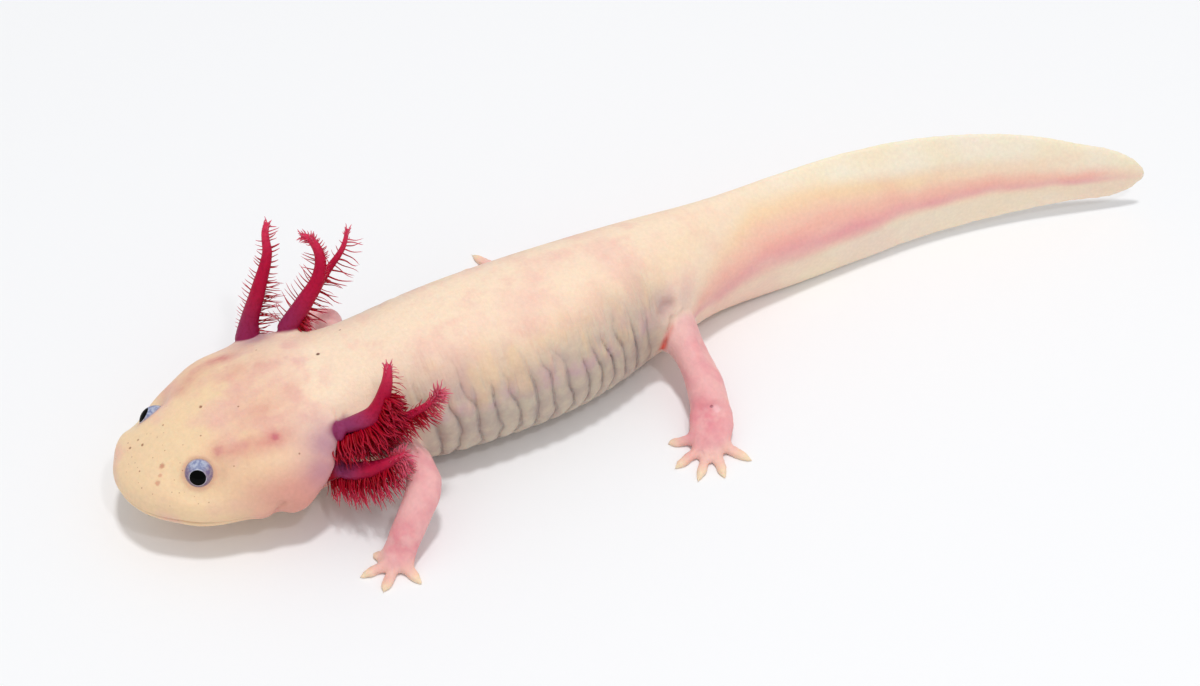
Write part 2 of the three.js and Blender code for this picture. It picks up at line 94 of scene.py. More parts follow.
# The eyes: the lids meet the ball in a low rim over a slight mound, and tuck in under it.
EYE_RADIUS = 3.1
EYE_DEPTH = 0.5  # how much deeper the eyeballs sit than their solids
EYE_SHIFT = {"left": (0, -0.8, 0.3), "right": (-0.1, -0.45, -0.6)}  # back, outwards and up, for looks
EYE_OPENING = 2.7  # radius of the round opening between the lids
EYE_FACING = (-0.33, 0.66, 0.68)  # the way the opening faces on the right, mirrored on the left
PUPIL_FACING = {"left": (-0.45, 0.79, 0.42), "right": (-0.66, 0.42, 0.62)}
LID = {"above_ball": 0.1, "rim": 0.1, "slope": 0.2, "mound": 4.6, "tuck": 0.45}

# A row of filaments grows out of the stalk's side that faces its way, over a span of the stalk's
# length, as so many lines side by side over a fan of degrees. lengths run from the span's start to
# its end, droop bends the filaments down and sweep bends them towards the stalk's tip. lean is in
# degrees towards the tip, thick is against the usual girth, and pale is how far the ends lighten.
Row = namedtuple("Row", "way span count lines fan lengths droop sweep lean thick pale", defaults=(10, 1, 1))

# Each gill's stalk, as points back, aside and up, from inside the head to its tip, and its rows.
GILLS = {
    "left_upper": {
        "girth": 1.12,
        "path": [(35.9, -10.8, 16.4), (40.2, -14.2, 18.8), (43.8, -16.4, 20.8), (47.2, -17.1, 22.8),
                 (50, -16.8, 28.4), (51, -16.2, 33)],
        "rows": [
            Row((0.9, -0.3, 0.1), (0.5, 0.98), 15, 2, 30, [2.6, 3.2, 3.4, 2.8, 1.4], 1.2, 0.1, thick=0.8),
            Row((0.1, -0.6, -0.9), (0.2, 0.74), 38, 9, 105, [5.2, 5.6, 6.2, 5.6, 3.2], 0.25, 0.0,
                thick=1.9, pale=0.3),
            Row((0.5, -0.7, 0.3), (0.93, 1.0), 4, 5, 290, [0.8, 1.0, 1.1, 1.2, 1.2], 0.0, 0.2, lean=60),
        ],
    },
    "left_middle": {
        "girth": 0.65,
        "path": [(37, -10, 12), (41.5, -14, 14), (45.6, -16.6, 16.7), (50.4, -19.4, 21), (53.4, -21, 23.1),
                 (56.6, -22.2, 25.5), (58.6, -22.5, 27.8)],
        "rows": [
            Row((0.35, -0.6, -0.7), (0.3, 0.98), 30, 5, 70, [4.4, 4.8, 4.4, 3.8, 2.2], 0.2, 0.3,
                thick=1.1, pale=0.7),
            Row((0.9, 0.3, 0.1), (0.35, 0.97), 16, 2, 30, [2.6, 3.0, 3.0, 2.8, 1.8], 0.3, 0.3, thick=0.9),
            Row((-0.3, -0.5, 0.8), (0.55, 0.9), 9, 3, 40, [0.5, 0.7, 0.7, 0.8, 0.9], 0.0, 0.8, thick=1.1),
            Row((-0.2, -0.2, 1), (0.9, 1.0), 6, 8, 320, [1.4, 1.8, 2.0, 2.2, 2.2], 0.0, 0.1,
                lean=42, thick=1.1),
        ],
    },
    "left_lower": {
        "girth": 1.06,
        "path": [(34.5, -13, 9.5), (38.3, -17.4, 11.9), (41, -20, 12.8), (43.3, -22.2, 14.1),
                 (45.6, -24, 15.9), (47.8, -25.1, 17.6), (49.2, -25.6, 18.6)],
        "rows": [
            Row((-0.1, -0.6, -0.8), (0.2, 0.97), 36, 6, 66, [4.0, 5.4, 6.2, 5.4, 2.8], 0.25, 0.1, thick=1.15),
            Row((0.6, 0.2, -0.7), (0.25, 0.95), 18, 2, 30, [3.4, 4.2, 4.4, 3.8, 2.4], 0.2, 0.1),
            Row((0.3, -0.4, 0.9), (0.84, 1.0), 8, 8, 320, [1.4, 2.0, 2.3, 2.4, 2.3], 0.3, 0.1,
                lean=36, thick=1.1),
        ],
    },
    "right_upper": {
        "girth": 1.0,
        "path": [(38, 9.8, 14), (41.6, 13.4, 19.8), (47, 13.5, 26.8), (50.5, 14.2, 30.6), (52.2, 16, 34.3),
                 (51.6, 18.6, 37.3), (49.9, 19.8, 37.9)],
        "rows": [
            Row((-0.5, 0.8, 0.25), (0.3, 0.86), 10, 2, 16, [3.8, 4.2, 4.0, 3.6, 3.0], 0.0, 0.3, thick=0.85),
            Row((0.8, -0.3, -0.3), (0.3, 0.72), 9, 2, 24, [3.8, 4.0, 3.6, 2.6, 1.6], 0.9, 0.2, thick=0.9),
            Row((0.8, -0.3, -0.5), (0.2, 0.44), 20, 9, 90, [2.8, 3.4, 3.4, 2.8, 1.8], 0.4, 0.0, thick=1.25),
            Row((0.8, -0.2, 0.3), (0.7, 0.95), 9, 3, 60, [1.0, 1.2, 1.3, 1.3, 1.2], 0.0, 0.5, thick=0.9),
            Row((0.2, 0.2, 0.9), (0.9, 1.0), 5, 7, 300, [0.9, 1.2, 1.4, 1.4, 1.3], 0.0, 0.2, lean=36),
        ],
    },
    "right_middle": {
        "girth": 0.62,
        "path": [(37, 10.8, 12), (42, 16.5, 16), (48.3, 17.8, 21), (54.9, 19.5, 27), (58.8, 20.4, 30.3),
                 (61.1, 22.1, 33.5)],
        "rows": [
            Row((0.8, -0.5, -0.3), (0.35, 0.97), 12, 2, 30, [3.6, 4.4, 5.2, 4.6, 2.4], 0.25, 0.2, thick=1.2),
            Row((0.3, 0.9, -0.4), (0.3, 0.97), 14, 2, 36, [3.4, 3.8, 3.8, 3.2, 1.8], 0.3, 0.3, thick=0.9),
            Row((0, -0.2, 1), (0.95, 1.0), 3, 4, 270, [0.9, 1.0, 1.1, 1.2, 1.2], 0.0, 0.1, lean=60),
        ],
    },
    "right_lower": {
        "girth": 0.95,
        "path": [(34, 11.8, 11), (35.9, 18.1, 18.8), (40, 19.6, 28.3), (43.6, 22, 34.2),
                 (44.7, 24.6, 37.5), (46, 25.8, 39)],
        "rows": [
            Row((-0.7, 0.6, 0.1), (0.3, 0.9), 13, 2, 16, [1.4, 2.0, 2.4, 2.2, 1.6], 0.0, 0.4, thick=0.8),
            Row((0.9, -0.2, -0.1), (0.28, 0.66), 14, 3, 36, [4.6, 5.0, 4.8, 4.2, 3.2], 0.1, 0.15, thick=0.85),
            Row((0.9, -0.3, -0.1), (0.64, 0.99), 8, 2, 36, [2.6, 2.2, 2.0, 2.4, 2.0], 0.0, 0.5, thick=1.0),
            Row((0.3, 0.2, 1), (0.94, 1.0), 3, 4, 270, [0.9, 1.0, 1.1, 1.2, 1.2], 0.0, 0.1, lean=60),
        ],
    },
}
SPAN_STEPS = 24  # on each span of a curve, before they are spaced evenly
STALK_RADII = [2.1, 2.0, 1.75, 1.2, 0.6]  # from root to tip, on the thickest gill
STALK_LEAST = 0.85  # no thinner than this before the stalks are remeshed
STALK_STEPS = 24
STALK_SIDES = 14

FILAMENT = {"root": 0.17, "tip": 0.05, "sides": 4, "rings": 7, "waviness": 0.12}
# How unlike the filaments of a row are: in place along it, turn and lean in degrees and bend, and
# the least and the most of their lengths and girths, against the usual ones, and of their waves.
UNEVEN = {"place": 0.3, "turn": 5, "lean": 6, "bend": 0.1, "length": (0.72, 1.1), "girth": (0.8, 1.15),
          "wave": (2.5, 6)}
ROOT_DEPTH = 0.75  # the share of the stalk's radius at which filaments start
BAKE_PATCH = 0.003  # how wide a filament is on the map that the export bakes
BAKE_EDGE = 0.02  # the empty edge of that map
ANY_PHASE = (0, 6.28)  # where a wave may start

# The mouth line on either side: its height at the front and at the corner, and how much it sags.
# The crease fades to a faint line behind the front, and each lip swells beside it.
MOUTH = {"front": 11.0, "corner": 10.0, "sag": 1.0, "corner_back": 24.0, "width": 0.35, "depth": 0.45,
         "faint": 0.35, "fades": (9, 16)}
LIPS = {"upper": {"at": 1.1, "width": 0.8, "rise": 0.2}, "lower": {"at": -1.3, "width": 0.9, "rise": 0.32}}

# Low swellings (and hollows, where the rise is negative): back, aside and up, then the spread and
# the rise. They are alike on both sides, but where aside is negative only the left side has one.
SWELLINGS = {
    "jaw muscle": (29.0, 19.5, 12.5, 5.0, 0.8),
    "gill cover": (34.5, 18.0, 16.0, 4.5, 0.7),
    "behind the jaw": (34.5, 19.5, 8.5, 3.6, -2.4),
    "behind the gill cover": (44.5, 16.0, 12.0, 3.6, -0.9),
    "upper lip's corner": (21.5, 19.6, 10.2, 2.2, 0.9),
    "behind the lip's corner": (24.6, 20.0, 9.0, 1.4, -0.5),
    "jowl": (29.5, 20.5, 12.5, 3.0, 0.35),
    "below the mouth corner": (26.0, 19.0, 7.5, 2.6, -0.9),
    "below the eye": (13.5, 14.6, 15.0, 3.0, -0.25),
    "snout side": (4.5, 8.5, 14.5, 4.5, 0.9),
    "upper lip": (14.0, 15.5, 11.5, 5.5, 0.6),
    "lower jaw": (15.0, 14.5, 7.5, 5.0, 0.2),
    "brow": (14.0, 9.0, 20.5, 3.6, 0.3),
    "temple": (24.0, 8.5, 22.5, 5.5, 0.5),
    "side of the head": (24.0, 16.0, 18.0, 5.5, 1.2),
    "crown": (31.0, 0.0, 24.2, 4.5, -0.35),
    "nostril": (0.9, 5.2, 12.6, 0.5, -0.35),
    "hip hollow": (110.8, 15.5, 20.3, 2.6, -1.1),
    "hip": (117.0, 13.0, 18.0, 4.5, 0.5),
    "elbow side": (50.5, 18.5, 15.0, 3.0, 0.4),
    "left elbow": (54.3, -28.9, 13.2, 1.2, -0.3),
    "left forearm": (53.4, -31.8, 11.0, 2.8, 0.5),
    "back of the left thigh": (118.2, -21.5, 11.8, 3.2, -1.7),
    "back of the left knee": (117.6, -25.5, 10.3, 3.0, -1.0),
}

# The back edge of the gill covers on either side, as up and back, how far it stands proud, and how
# far the skin sinks behind it.
GILL_COVER = {
    "up": [5, 8.6, 10.2, 13.8, 15.4, 17.1, 19.3, 22.5],
    "back": [24, 27, 30.1, 34.8, 37, 38.4, 40.4, 41],
    "proud": 0.6,
    "sunk": 1.2,
}

# Creases in the skin of either side: the points that each passes, how wide and deep it is, and how
# strongly it is darkened with painted shade.
CREASES = {
    "hip": {"line": [(111.3, 15.9, 17.8), (111.9, 15.8, 18.5), (113.1, 15.6, 18.4)],
            "width": 1.2, "depth": 0.8, "painted_shade": 0.26},
    "thigh": {"line": [(110.4, 18.2, 10.8), (111.1, 18.0, 12.3), (112, 17.6, 14.1), (113, 16.8, 16.2)],
              "width": 0.5, "depth": 0.6, "painted_shade": 0.1},
    "under the eye": {"line": [(10.1, 11.1, 15.8), (12.5, 12.4, 15.5), (13.8, 12.7, 15.8)],
                      "width": 0.35, "depth": 0.22, "painted_shade": 0.16},
    "throat": {"line": [(27.5, 19, 7.2), (30, 14, 3.6), (31, 7, 2.2), (31.4, 0, 1.8)],
               "width": 0.8, "depth": 0.6, "painted_shade": 0.15},
    "mouth corner": {"line": [(23.8, 20, 9.6), (24.6, 20.2, 11.4), (25.7, 20.5, 12.8)],
                     "width": 0.4, "depth": 0.45, "painted_shade": 0.1},
}

# The furrows between the ribs, from behind the front leg to the hip: how close they lie in front
# and behind, how low and high they reach, and how far they wander from even places.
FURROWS = {"from": 55.0, "to": 109.0, "spacing": [4.4, 3.1], "low": 2.0, "high": 25.5, "depth": 1.05,
           "wander": [(0.2, 8, 3), (0.06, 3, 4)]}

# The muscle of the tail, seen as a pink band: its middle height and half height, back from the snout.
TAIL_CORE = {
    "back": [114, 120, 126, 140, 157, 175, 194, 228],
    "level": [11.5, 12.5, 14.0, 16.6, 15.5, 14.2, 13.1, 9.8],
    "half": [1.0, 2.4, 3.6, 4.6, 4.4, 2.7, 2.0, 1.4],
}
# How far the upper and the lower edge of the tail stand above their solids' edges.
TAIL_LIFT = {
    "back": [135, 150, 165, 177, 193, 203, 210, 217, 223, 229],
    "top": [0, 0.6, 1.1, 1.6, 1.9, 1.95, 1.75, 1.0, 0.2, -0.2],
    "bottom": [0, 0.3, 0.9, 1.0, 0.75, 0.6, 0.5, 0.4, 0.25, 0.1],
}
TAIL_TIP = {"reach": 16, "taller": 0.42, "level": [7.4, 9.6, 10.3]}

# The line along the front of the thigh where the blood shows through.
CROTCH = {"line": [(110.4, 17.6, 9.4), (110.6, 17.9, 10.3), (111.1, 17.9, 11.9), (111.6, 17.9, 13.2),
                   (112.4, 17.5, 14.6)],
          "width": 0.62}

# Round patches of colour on either side: where, how far they spread, and how strong they are.
BLUSH = [((18.2, 9.2, 20.6), 2.1, 0.7), ((20.5, 10.8, 20.6), 2.3, 0.65), ((23, 11.8, 20.9), 2.4, 0.75),
         ((25.6, 12.2, 21.1), 2.6, 0.85), ((28.4, 12.3, 21.4), 2.2, 1.0), ((31, 12.4, 21.3), 2.5, 0.5),
         ((29, 6.5, 23), 3.0, 0.55), ((34, 6, 23.5), 3.0, 0.5), ((25, 19, 10), 1.5, 0.5),
         ((17, 12.5, 17.5), 2.5, 0.3)]
# Purple-grey patches on either side: near the gills they are the skin's own colour, and the last two, at the
# hip, are painted shade in its hollow.
LAVENDER_AND_HIP_SHADE = [((37, 16, 18.6), 4.4, 0.9), ((34, 12, 21), 3.0, 0.2), ((34.5, 18.5, 15.5), 3.8, 0.8),
            ((112.3, 15.6, 19.2), 3.6, 0.5), ((117, 15.2, 18.4), 3.8, 0.35)]

# Freckles lie in cells, most of them empty: how wide the cells are, the share of them with a
# freckle, its reach, the mark on the skin that it needs, and how dark it is.
FRECKLES = [(1.1, 0.4, 0.17, "snout", 0.5), (1.9, 0.26, 0.24, "snout", 0.7), (3.0, 0.22, 0.26, "crown", 0.7)]

# Single spots: where, how far they reach, their colour and how strong they are.
MOLES = [((43.7, 0.6, 25), 0.5, "5A2E20", 0.95), ((19.4, 1.4, 22.2), 0.5, "8A4A34", 0.85),
         ((7, 1.6, 18.1), 0.42, "8A5238", 0.8), ((5, 3.1, 16.9), 0.42, "8A5238", 0.8),
         ((6.9, 3.5, 17.8), 0.36, "96604A", 0.7), ((11.9, 2.6, 20.1), 0.36, "96604A", 0.6),
         ((8.1, -5.6, 18.4), 0.8, "C07860", 0.7), ((6.1, -8, 17), 0.8, "CC8470", 0.6),
         ((7, -7, 17.6), 0.6, "CC8470", 0.5), ((50.3, 4.6, 25), 0.36, "8A4A34", 0.6),
         ((112.3, -33.7, 6), 0.45, "8A3048", 0.8), ((112.9, -34.5, 5.4), 1.3, "FAD0D4", 0.5),
         ((28.5, -12.3, 21.4), 1.1, "B8406A", 0.4), ((18.2, -9.2, 20.6), 1.4, "C0607A", 0.25)]

CAMERA = {"target": (99, -12.2, 12), "azimuth": -30, "elevation": 44, "distance": 470, "lens": 70}

# The studio's softboxes, in metres and watts: each faces the middle of the model.
LAMPS = {
    "overhead": {"place": (0, -0.1, 1.5), "size": 0.16, "power": 8.0},
    "front": {"place": (-0.026, -0.452, 0.796), "size": 0.06, "power": 0.8},
}
SKYLIGHT = 0.6
FLOOR_REACH = 3  # metres from the middle of the floor to its edge


# ---------------------------------------------------------------- small helpers
def unit(vectors):
    """Vectors scaled to a length of one."""
    return vectors / np.maximum(np.linalg.norm(vectors, axis=-1, keepdims=True), 1e-12)


def step(low, high, values):
    """0 below low, 1 above high and smooth between them. The other way round where low is the larger."""
    share = np.clip((np.asarray(values) - low) / (high - low), 0, 1)
    return share * share * (3 - 2 * share)


def band(values, begin, full, fade, end):
    """0 up to begin, 1 from full to fade, and 0 again past end."""
    return step(begin, full, values) * step(end, fade, values)


def hump(values, centre, width):
    """1 at the centre, falling away smoothly over the width."""
    return np.exp(-(((values - centre) / width) ** 2))


def wander(points, size, seed):
    """Smooth noise of about -1 to 1 that changes over so many millimetres, from a few crossed waves."""
    draw = np.random.default_rng(seed)
    total, waves = np.zeros(len(points)), 6
    for _ in range(waves):
        way = draw.normal(size=3)
        way /= np.linalg.norm(way) * size * MM
        total += np.sin(points @ way * 2 * math.pi * draw.uniform(0.6, 1.5) + draw.uniform(*ANY_PHASE))
    return total / (waves / 2)


def curve_through(points, steps):
    """A smooth curve through spots, as an array of steps + 1 points at even shares of its length."""
    points = [spot(*p) for p in points]
    ways = [(points[min(i + 1, len(points) - 1)] - points[max(i - 1, 0)]) / 2 for i in range(len(points))]
    dense = []
    for a, b, out, back in zip(points, points[1:], ways, ways[1:]):
        scale = (b - a).length / 3
        handles = a + out.normalized() * scale, b - back.normalized() * scale
        dense += interpolate_bezier(a, *handles, b, SPAN_STEPS)
    dense = np.array(dense)
    run = np.concatenate([[0], np.cumsum(np.linalg.norm(np.diff(dense, axis=0), axis=1))])
    at = np.linspace(0, run[-1], steps + 1)
    return np.stack([np.interp(at, run, dense[:, axis]) for axis in range(3)], axis=1)


def along(values, share):
    """What an evenly spread list of values has at each share of its length."""
    return np.interp(share, np.linspace(0, 1, len(values)), values)


def away_from(places, point):
    """How far each place is from a point, in millimetres."""
    return np.linalg.norm(places - np.array(point), axis=1) / MM


def onto(places, start, end):
    """Each place's share of the way from start to end, the nearest point there, and how far off it is."""
    way = end - start
    share = np.clip((places - start) @ way / (way @ way), 0, 1)
    nearest = start + share[:, None] * way
    return share, nearest, np.linalg.norm(places - nearest, axis=1) / MM


def from_line(places, points, hand):
    """How far each place is from a line through some points of one side, in millimetres."""
    ends = [np.array(spot(back, aside * hand, up)) for back, aside, up in points]
    return np.min([onto(places, start, end)[2] for start, end in zip(ends, ends[1:])], axis=0)


def raised(places, normals, rise):
    """Places moved outwards by so many millimetres."""
    return places + normals * (np.broadcast_to(rise, len(places)) * MM)[:, None]


def in_head_terms(places):
    """Columns of how far back, aside and up each place is, in millimetres."""
    return ((places - np.array(spot(0, 0, 0))) / MM).T


def new_object(name, mesh):
    piece = bpy.data.objects.new(name, mesh)
    bpy.context.scene.collection.objects.link(piece)
    return piece


def mesh_from(bm, name):
    """A mesh with a bmesh's form, which is then let go."""
    mesh = bpy.data.meshes.new(name)
    bm.to_mesh(mesh)
    bm.free()
    return mesh


def by_modifier(form, kind, **settings):
    """A mesh made from an object by one modifier. The object is then let go."""
    modifier = form.modifiers.new("one", kind)
    for key, value in settings.items():
        setattr(modifier, key, value)
    made = bpy.data.meshes.new_from_object(form.evaluated_get(bpy.context.evaluated_depsgraph_get()))
    bpy.data.objects.remove(form)
    return made


def read_vectors(items, key):
    flat = np.empty(len(items) * 3, np.float32)
    items.foreach_get(key, flat)
    return flat.reshape(-1, 3).astype(float)


def places_of(mesh):
    return read_vectors(mesh.vertices, "co")


def normals_of(mesh):
    return read_vectors(mesh.vertex_normals, "vector")


def move_to(mesh, places):
    mesh.vertices.foreach_set("co", np.asarray(places, np.float32).ravel())
    mesh.update()


def store(mesh, name, values):
    """Keeps a value for each vertex, for the material to read."""
    attribute = mesh.attributes.new(name, "FLOAT", "POINT")
    attribute.data.foreach_set("value", np.asarray(values, np.float32))


def merged_copy(nodes):
    """A bmesh of some nodes' solids, with their loose triangles joined at the corners."""
    bm = bmesh.new()
    for node in nodes:
        bm.from_mesh(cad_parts[node].data)
    bmesh.ops.remove_doubles(bm, verts=bm.verts, dist=1e-6)
    bm.normal_update()
    return bm


def distance_from(nodes, places):
    """How far each place is outside some nodes' solids, in millimetres."""
    bm = merged_copy(nodes)
    tree = BVHTree.FromBMesh(bm)
    bm.free()
    return np.array([tree.find_nearest(Vector(place))[3] for place in places]) / MM


class Smoother:
    """Evens out values over a mesh's edges."""

    def __init__(self, mesh):
        ends = np.empty(len(mesh.edges) * 2, np.int32)
        mesh.edges.foreach_get("vertices", ends)
        self.a, self.b = ends.reshape(-1, 2).T
        self.count = len(mesh.vertices)
        self.degree = np.maximum(np.bincount(ends, minlength=self.count), 1)

    def means(self, values):
        """The mean of each vertex's neighbours."""
        if values.ndim == 1:
            total = np.bincount(self.a, values[self.b], self.count)
            return (total + np.bincount(self.b, values[self.a], self.count)) / self.degree
        return np.stack([self.means(column) for column in values.T], axis=1)

    def smooth(self, values, weight, rounds):
        for _ in range(rounds):
            change = self.means(values) - values
            values = values + (change.T * weight).T
        return values


# ---------------------------------------------------------------- the skin's rough form
def add_stalk(bm, path, girth):
    """A gill's bare stalk: a disc carried along its path by extrusion, closed at both ends."""
    centres = curve_through(path, STALK_STEPS)
    ways = unit(np.gradient(centres, axis=0))
    ring = bmesh.ops.create_circle(bm, segments=STALK_SIDES, radius=1, cap_ends=True)["verts"]
    faces = list(ring[0].link_faces)
    corners = [vert.co.copy() for vert in ring]
    for place, (centre, way) in enumerate(zip(centres, ways)):
        if place:
            made = bmesh.ops.extrude_face_region(bm, geom=faces, use_keep_orig=place == 1)["geom"]
            faces = [item for item in made if isinstance(item, bmesh.types.BMFace)]
            ring = list(faces[0].verts)
        turn = Vector(way).to_track_quat("Z", "Y")
        radius = max(along(STALK_RADII, place / STALK_STEPS) * girth, STALK_LEAST) * MM
        for vert, corner in zip(ring, corners):
            vert.co = turn @ (corner * radius) + Vector(centre)


def remeshed(bm, voxel):
    """The closed surface round everything in a bmesh, on an even grid of the given size."""
    form = new_object("rough", mesh_from(bm, "rough"))
    return by_modifier(form, "REMESH", mode="VOXEL", voxel_size=voxel * MM)


def grow(bm, amount):
    """Moves a bmesh's surface outwards by so many millimetres."""
    for vert in bm.verts:
        vert.co += vert.normal * amount * MM


def ankle(limb):
    """The middle of a limb's wrist or ankle, and the length of its foot in millimetres."""
    shank_low, shank_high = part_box(f"{limb}_lower")
    foot_low, foot_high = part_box(f"{limb}_foot")
    middle = ((foot_low + foot_high) / 2).lerp((shank_low + shank_high) / 2, 0.45)
    return np.array(middle), max(foot_high - foot_low) / MM


def webbed_foot(limb):
    """A foot with small webs at the roots of its toes, and only its wrist left grown."""
    bm = merged_copy([f"{limb}_foot"])
    grow(bm, WEB)
    mesh = remeshed(bm, FOOT_VOXEL)
    move_to(mesh, Smoother(mesh).smooth(places_of(mesh), 0.5, 4))
    wrist, size = ankle(limb)
    left_grown = GROWTH * step(0.42, 0.3, away_from(places_of(mesh), wrist) / size) - WEB
    move_to(mesh, raised(places_of(mesh), normals_of(mesh), left_grown))
    return mesh


def rough_skin():
    """One closed mesh round all the flesh: the solids grown a little, with the stalks, remeshed as one."""
    bm = merged_copy(BODY_NODES + LEG_NODES + list(EYES.values()))
    grow(bm, GROWTH)
    for limb in LIMBS:
        bm.from_mesh(webbed_foot(limb))
    for gill in GILLS.values():
        add_stalk(bm, gill["path"], gill["girth"])
    bmesh.ops.recalc_face_normals(bm, faces=bm.faces)
    return remeshed(bm, VOXEL)


def thickness_of(mesh, places, normals):
    """How thick the body is under each vertex, in millimetres."""
    tree = BVHTree.FromPolygons(places.tolist(), [tuple(face.vertices) for face in mesh.polygons])
    result = np.empty(len(places))
    for i, (place, normal) in enumerate(zip(places, normals)):
        inward = Vector(-normal)
        hit = tree.ray_cast(Vector(place) + inward * 0.2 * MM, inward)
        result[i] = hit[3] / MM if hit[3] else SMOOTHING["least"]
    return result


def smooth_skin(mesh):
    """Rounds off facets and steps, strongly where the body is thick and hardly at all on toes and fins."""
    places, normals = places_of(mesh), normals_of(mesh)
    smoother, rounds = Smoother(mesh), SMOOTHING["rounds"]
    back = in_head_terms(places)[0]
    least = SMOOTHING["least"] + (TAIL_SMOOTHING - SMOOTHING["least"]) * step(115, 130, back)
    reach = np.clip(thickness_of(mesh, places, normals) * SMOOTHING["share"], least, SMOOTHING["most"])
    reach = smoother.smooth(reach, 0.5, 12)
    weight = np.clip(2 * (reach / VOXEL) ** 2 / rounds, 0, 0.7)
    rounded = smoother.smooth(places, weight, rounds)
    lost = smoother.smooth(places - rounded, weight, rounds)
    move_to(mesh, rounded + lost)
    move_to(mesh, raised(places_of(mesh), normals_of(mesh), -GROWTH))
    return mesh


def thin_out(mesh):
    """Merges faces on the plain parts, and leaves the detailed ones as fine as they are."""
    places, normals = places_of(mesh), normals_of(mesh)
    back = in_head_terms(places)[0]
    flanks = (back > FURROWS["from"] - 3) & (back < FURROWS["to"] + 8) & (np.abs(normals[:, 1]) > 0.15)
    feet = distance_from(FOOT_NODES, places) < FINE_WITHIN["feet"]
    gills = stalk_shares(places)[1] < FINE_WITHIN["gills"]
    fins = (back > 150) & (np.abs(normals[:, 2]) > 0.5)
    detailed = flanks | feet | gills | fins | worth_refining(places)
    form = new_object("form", mesh)
    form.vertex_groups.new(name="plain").add(np.flatnonzero(~detailed).tolist(), 1, "REPLACE")
    return by_modifier(form, "DECIMATE", vertex_group="plain", ratio=KEPT_SHARE)


def worth_refining(places):
    """Which places carry lips, lids, sharp folds or thin tips, and so need a finer mesh."""
    back, aside, up = in_head_terms(places)
    offset, on_mouth = mouth_offset(back, up)
    lips = (np.abs(offset) < FINE_WITHIN["lips"]) & (on_mouth > 0)
    covers = np.abs(past_gill_cover(back, up)) < FINE_WITHIN["gill covers"]
    covers &= (np.abs(aside) > 9) & (up < GILL_COVER["up"][-1] + 1)
    share, distance, _, _ = stalk_shares(places)
    tips = (share > 0.6) & (distance < FINE_WITHIN["gills"])
    return lips | covers | tips | near_eyes(places)


def near_eyes(places):
    away = np.min([away_from(places, eye_centre(side)) for side in SIDES], axis=0)
    return away < FINE_WITHIN["eyes"]


def refine(mesh):
    """Makes the mesh finer where it carries small forms, and finer again round the eyes."""
    for which in (worth_refining, near_eyes):
        wanted = which(places_of(mesh))
        bm = bmesh.new()
        bm.from_mesh(mesh)
        edges = [e for e in bm.edges if wanted[e.verts[0].index] and wanted[e.verts[1].index]]
        bmesh.ops.subdivide_edges(bm, edges=edges, cuts=1, use_grid_fill=True)
        bm.to_mesh(mesh)
        bm.free()
    places = places_of(mesh)
    move_to(mesh, Smoother(mesh).smooth(places, worth_refining(places) * 0.5, 6))
    return mesh


# ---------------------------------------------------------------- the skin's folds
def stalk_shares(places):
    """For each place: its share of the way out along the nearest stalk, how far it is from that stalk's
    middle line in millimetres, the nearest place on the line, and the stalk's radius there."""
    share, distance = np.zeros(len(places)), np.full(len(places), 99.0)
    middle, radius = np.zeros((len(places), 3)), np.ones(len(places))
    for gill in GILLS.values():
        line = curve_through(gill["path"], STALK_STEPS * 2)
        for i, (start, end) in enumerate(zip(line, line[1:])):
            part, nearest, away = onto(places, start, end)
            nearer = away < distance
            distance[nearer], middle[nearer] = away[nearer], nearest[nearer]
            share[nearer] = (i + part[nearer]) / (STALK_STEPS * 2)
            radius[nearer] = along(STALK_RADII, share[nearer]) * gill["girth"]
    return share, distance, middle, radius


def shape_stalks(places, off_flesh):
    """Makes the free part of each stalk truly round, with a round tip."""
    share, distance, middle, radius = stalk_shares(places)
    free = step(0.5, 1.6, off_flesh) * step(0.15, 0.3, share) * step(radius + 1.8, radius + 1.2, distance)
    wanted = middle + unit(places - middle) * (radius * MM)[:, None]
    return places + (wanted - places) * free[:, None]


def eye_axis(side, facing):
    return Vector((facing[0], facing[1] * SIDES[side], facing[2])).normalized()


def eye_centre(side):
    back, out, up = EYE_SHIFT[side]
    middle = sum(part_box(EYES[side]), Vector()) / 2 + Vector((back, out * SIDES[side], up)) * MM
    return middle - eye_axis(side, EYE_FACING) * EYE_DEPTH * MM


def round_eye(places, side):
    """How far out along the eye's axis each place is, and how far from the axis, in millimetres."""
    offset, axis = (places - np.array(eye_centre(side))) / MM, np.array(eye_axis(side, EYE_FACING))
    height = offset @ axis
    return height, np.linalg.norm(offset - np.outer(height, axis), axis=1)


def past_palm(places):
    """How far out along its toe each place is, where 1 is a tip, the level way out to it from the
    palm, and a share that is 1 on toes and palms."""
    reach, on_foot = np.full(len(places), 9.0), np.zeros(len(places))
    outward = np.zeros_like(places)
    for limb in LIMBS:
        low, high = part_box(f"{limb}_foot")
        wrist, size = ankle(limb)
        palm = np.array((low + high) / 2) * 0.7 + wrist * 0.3
        here = away_from(places, palm) / size * 2
        level = (places - palm) * (1, 1, 0)
        outward[here < reach] = unit(level)[here < reach]
        reach = np.minimum(reach, here)
        on_foot = np.maximum(on_foot, band(away_from(places, wrist) / size, 0.28, 0.42, 1.5, 1.6))
    return reach, outward, step(2.0, 1.0, distance_from(FOOT_NODES, places)) * on_foot


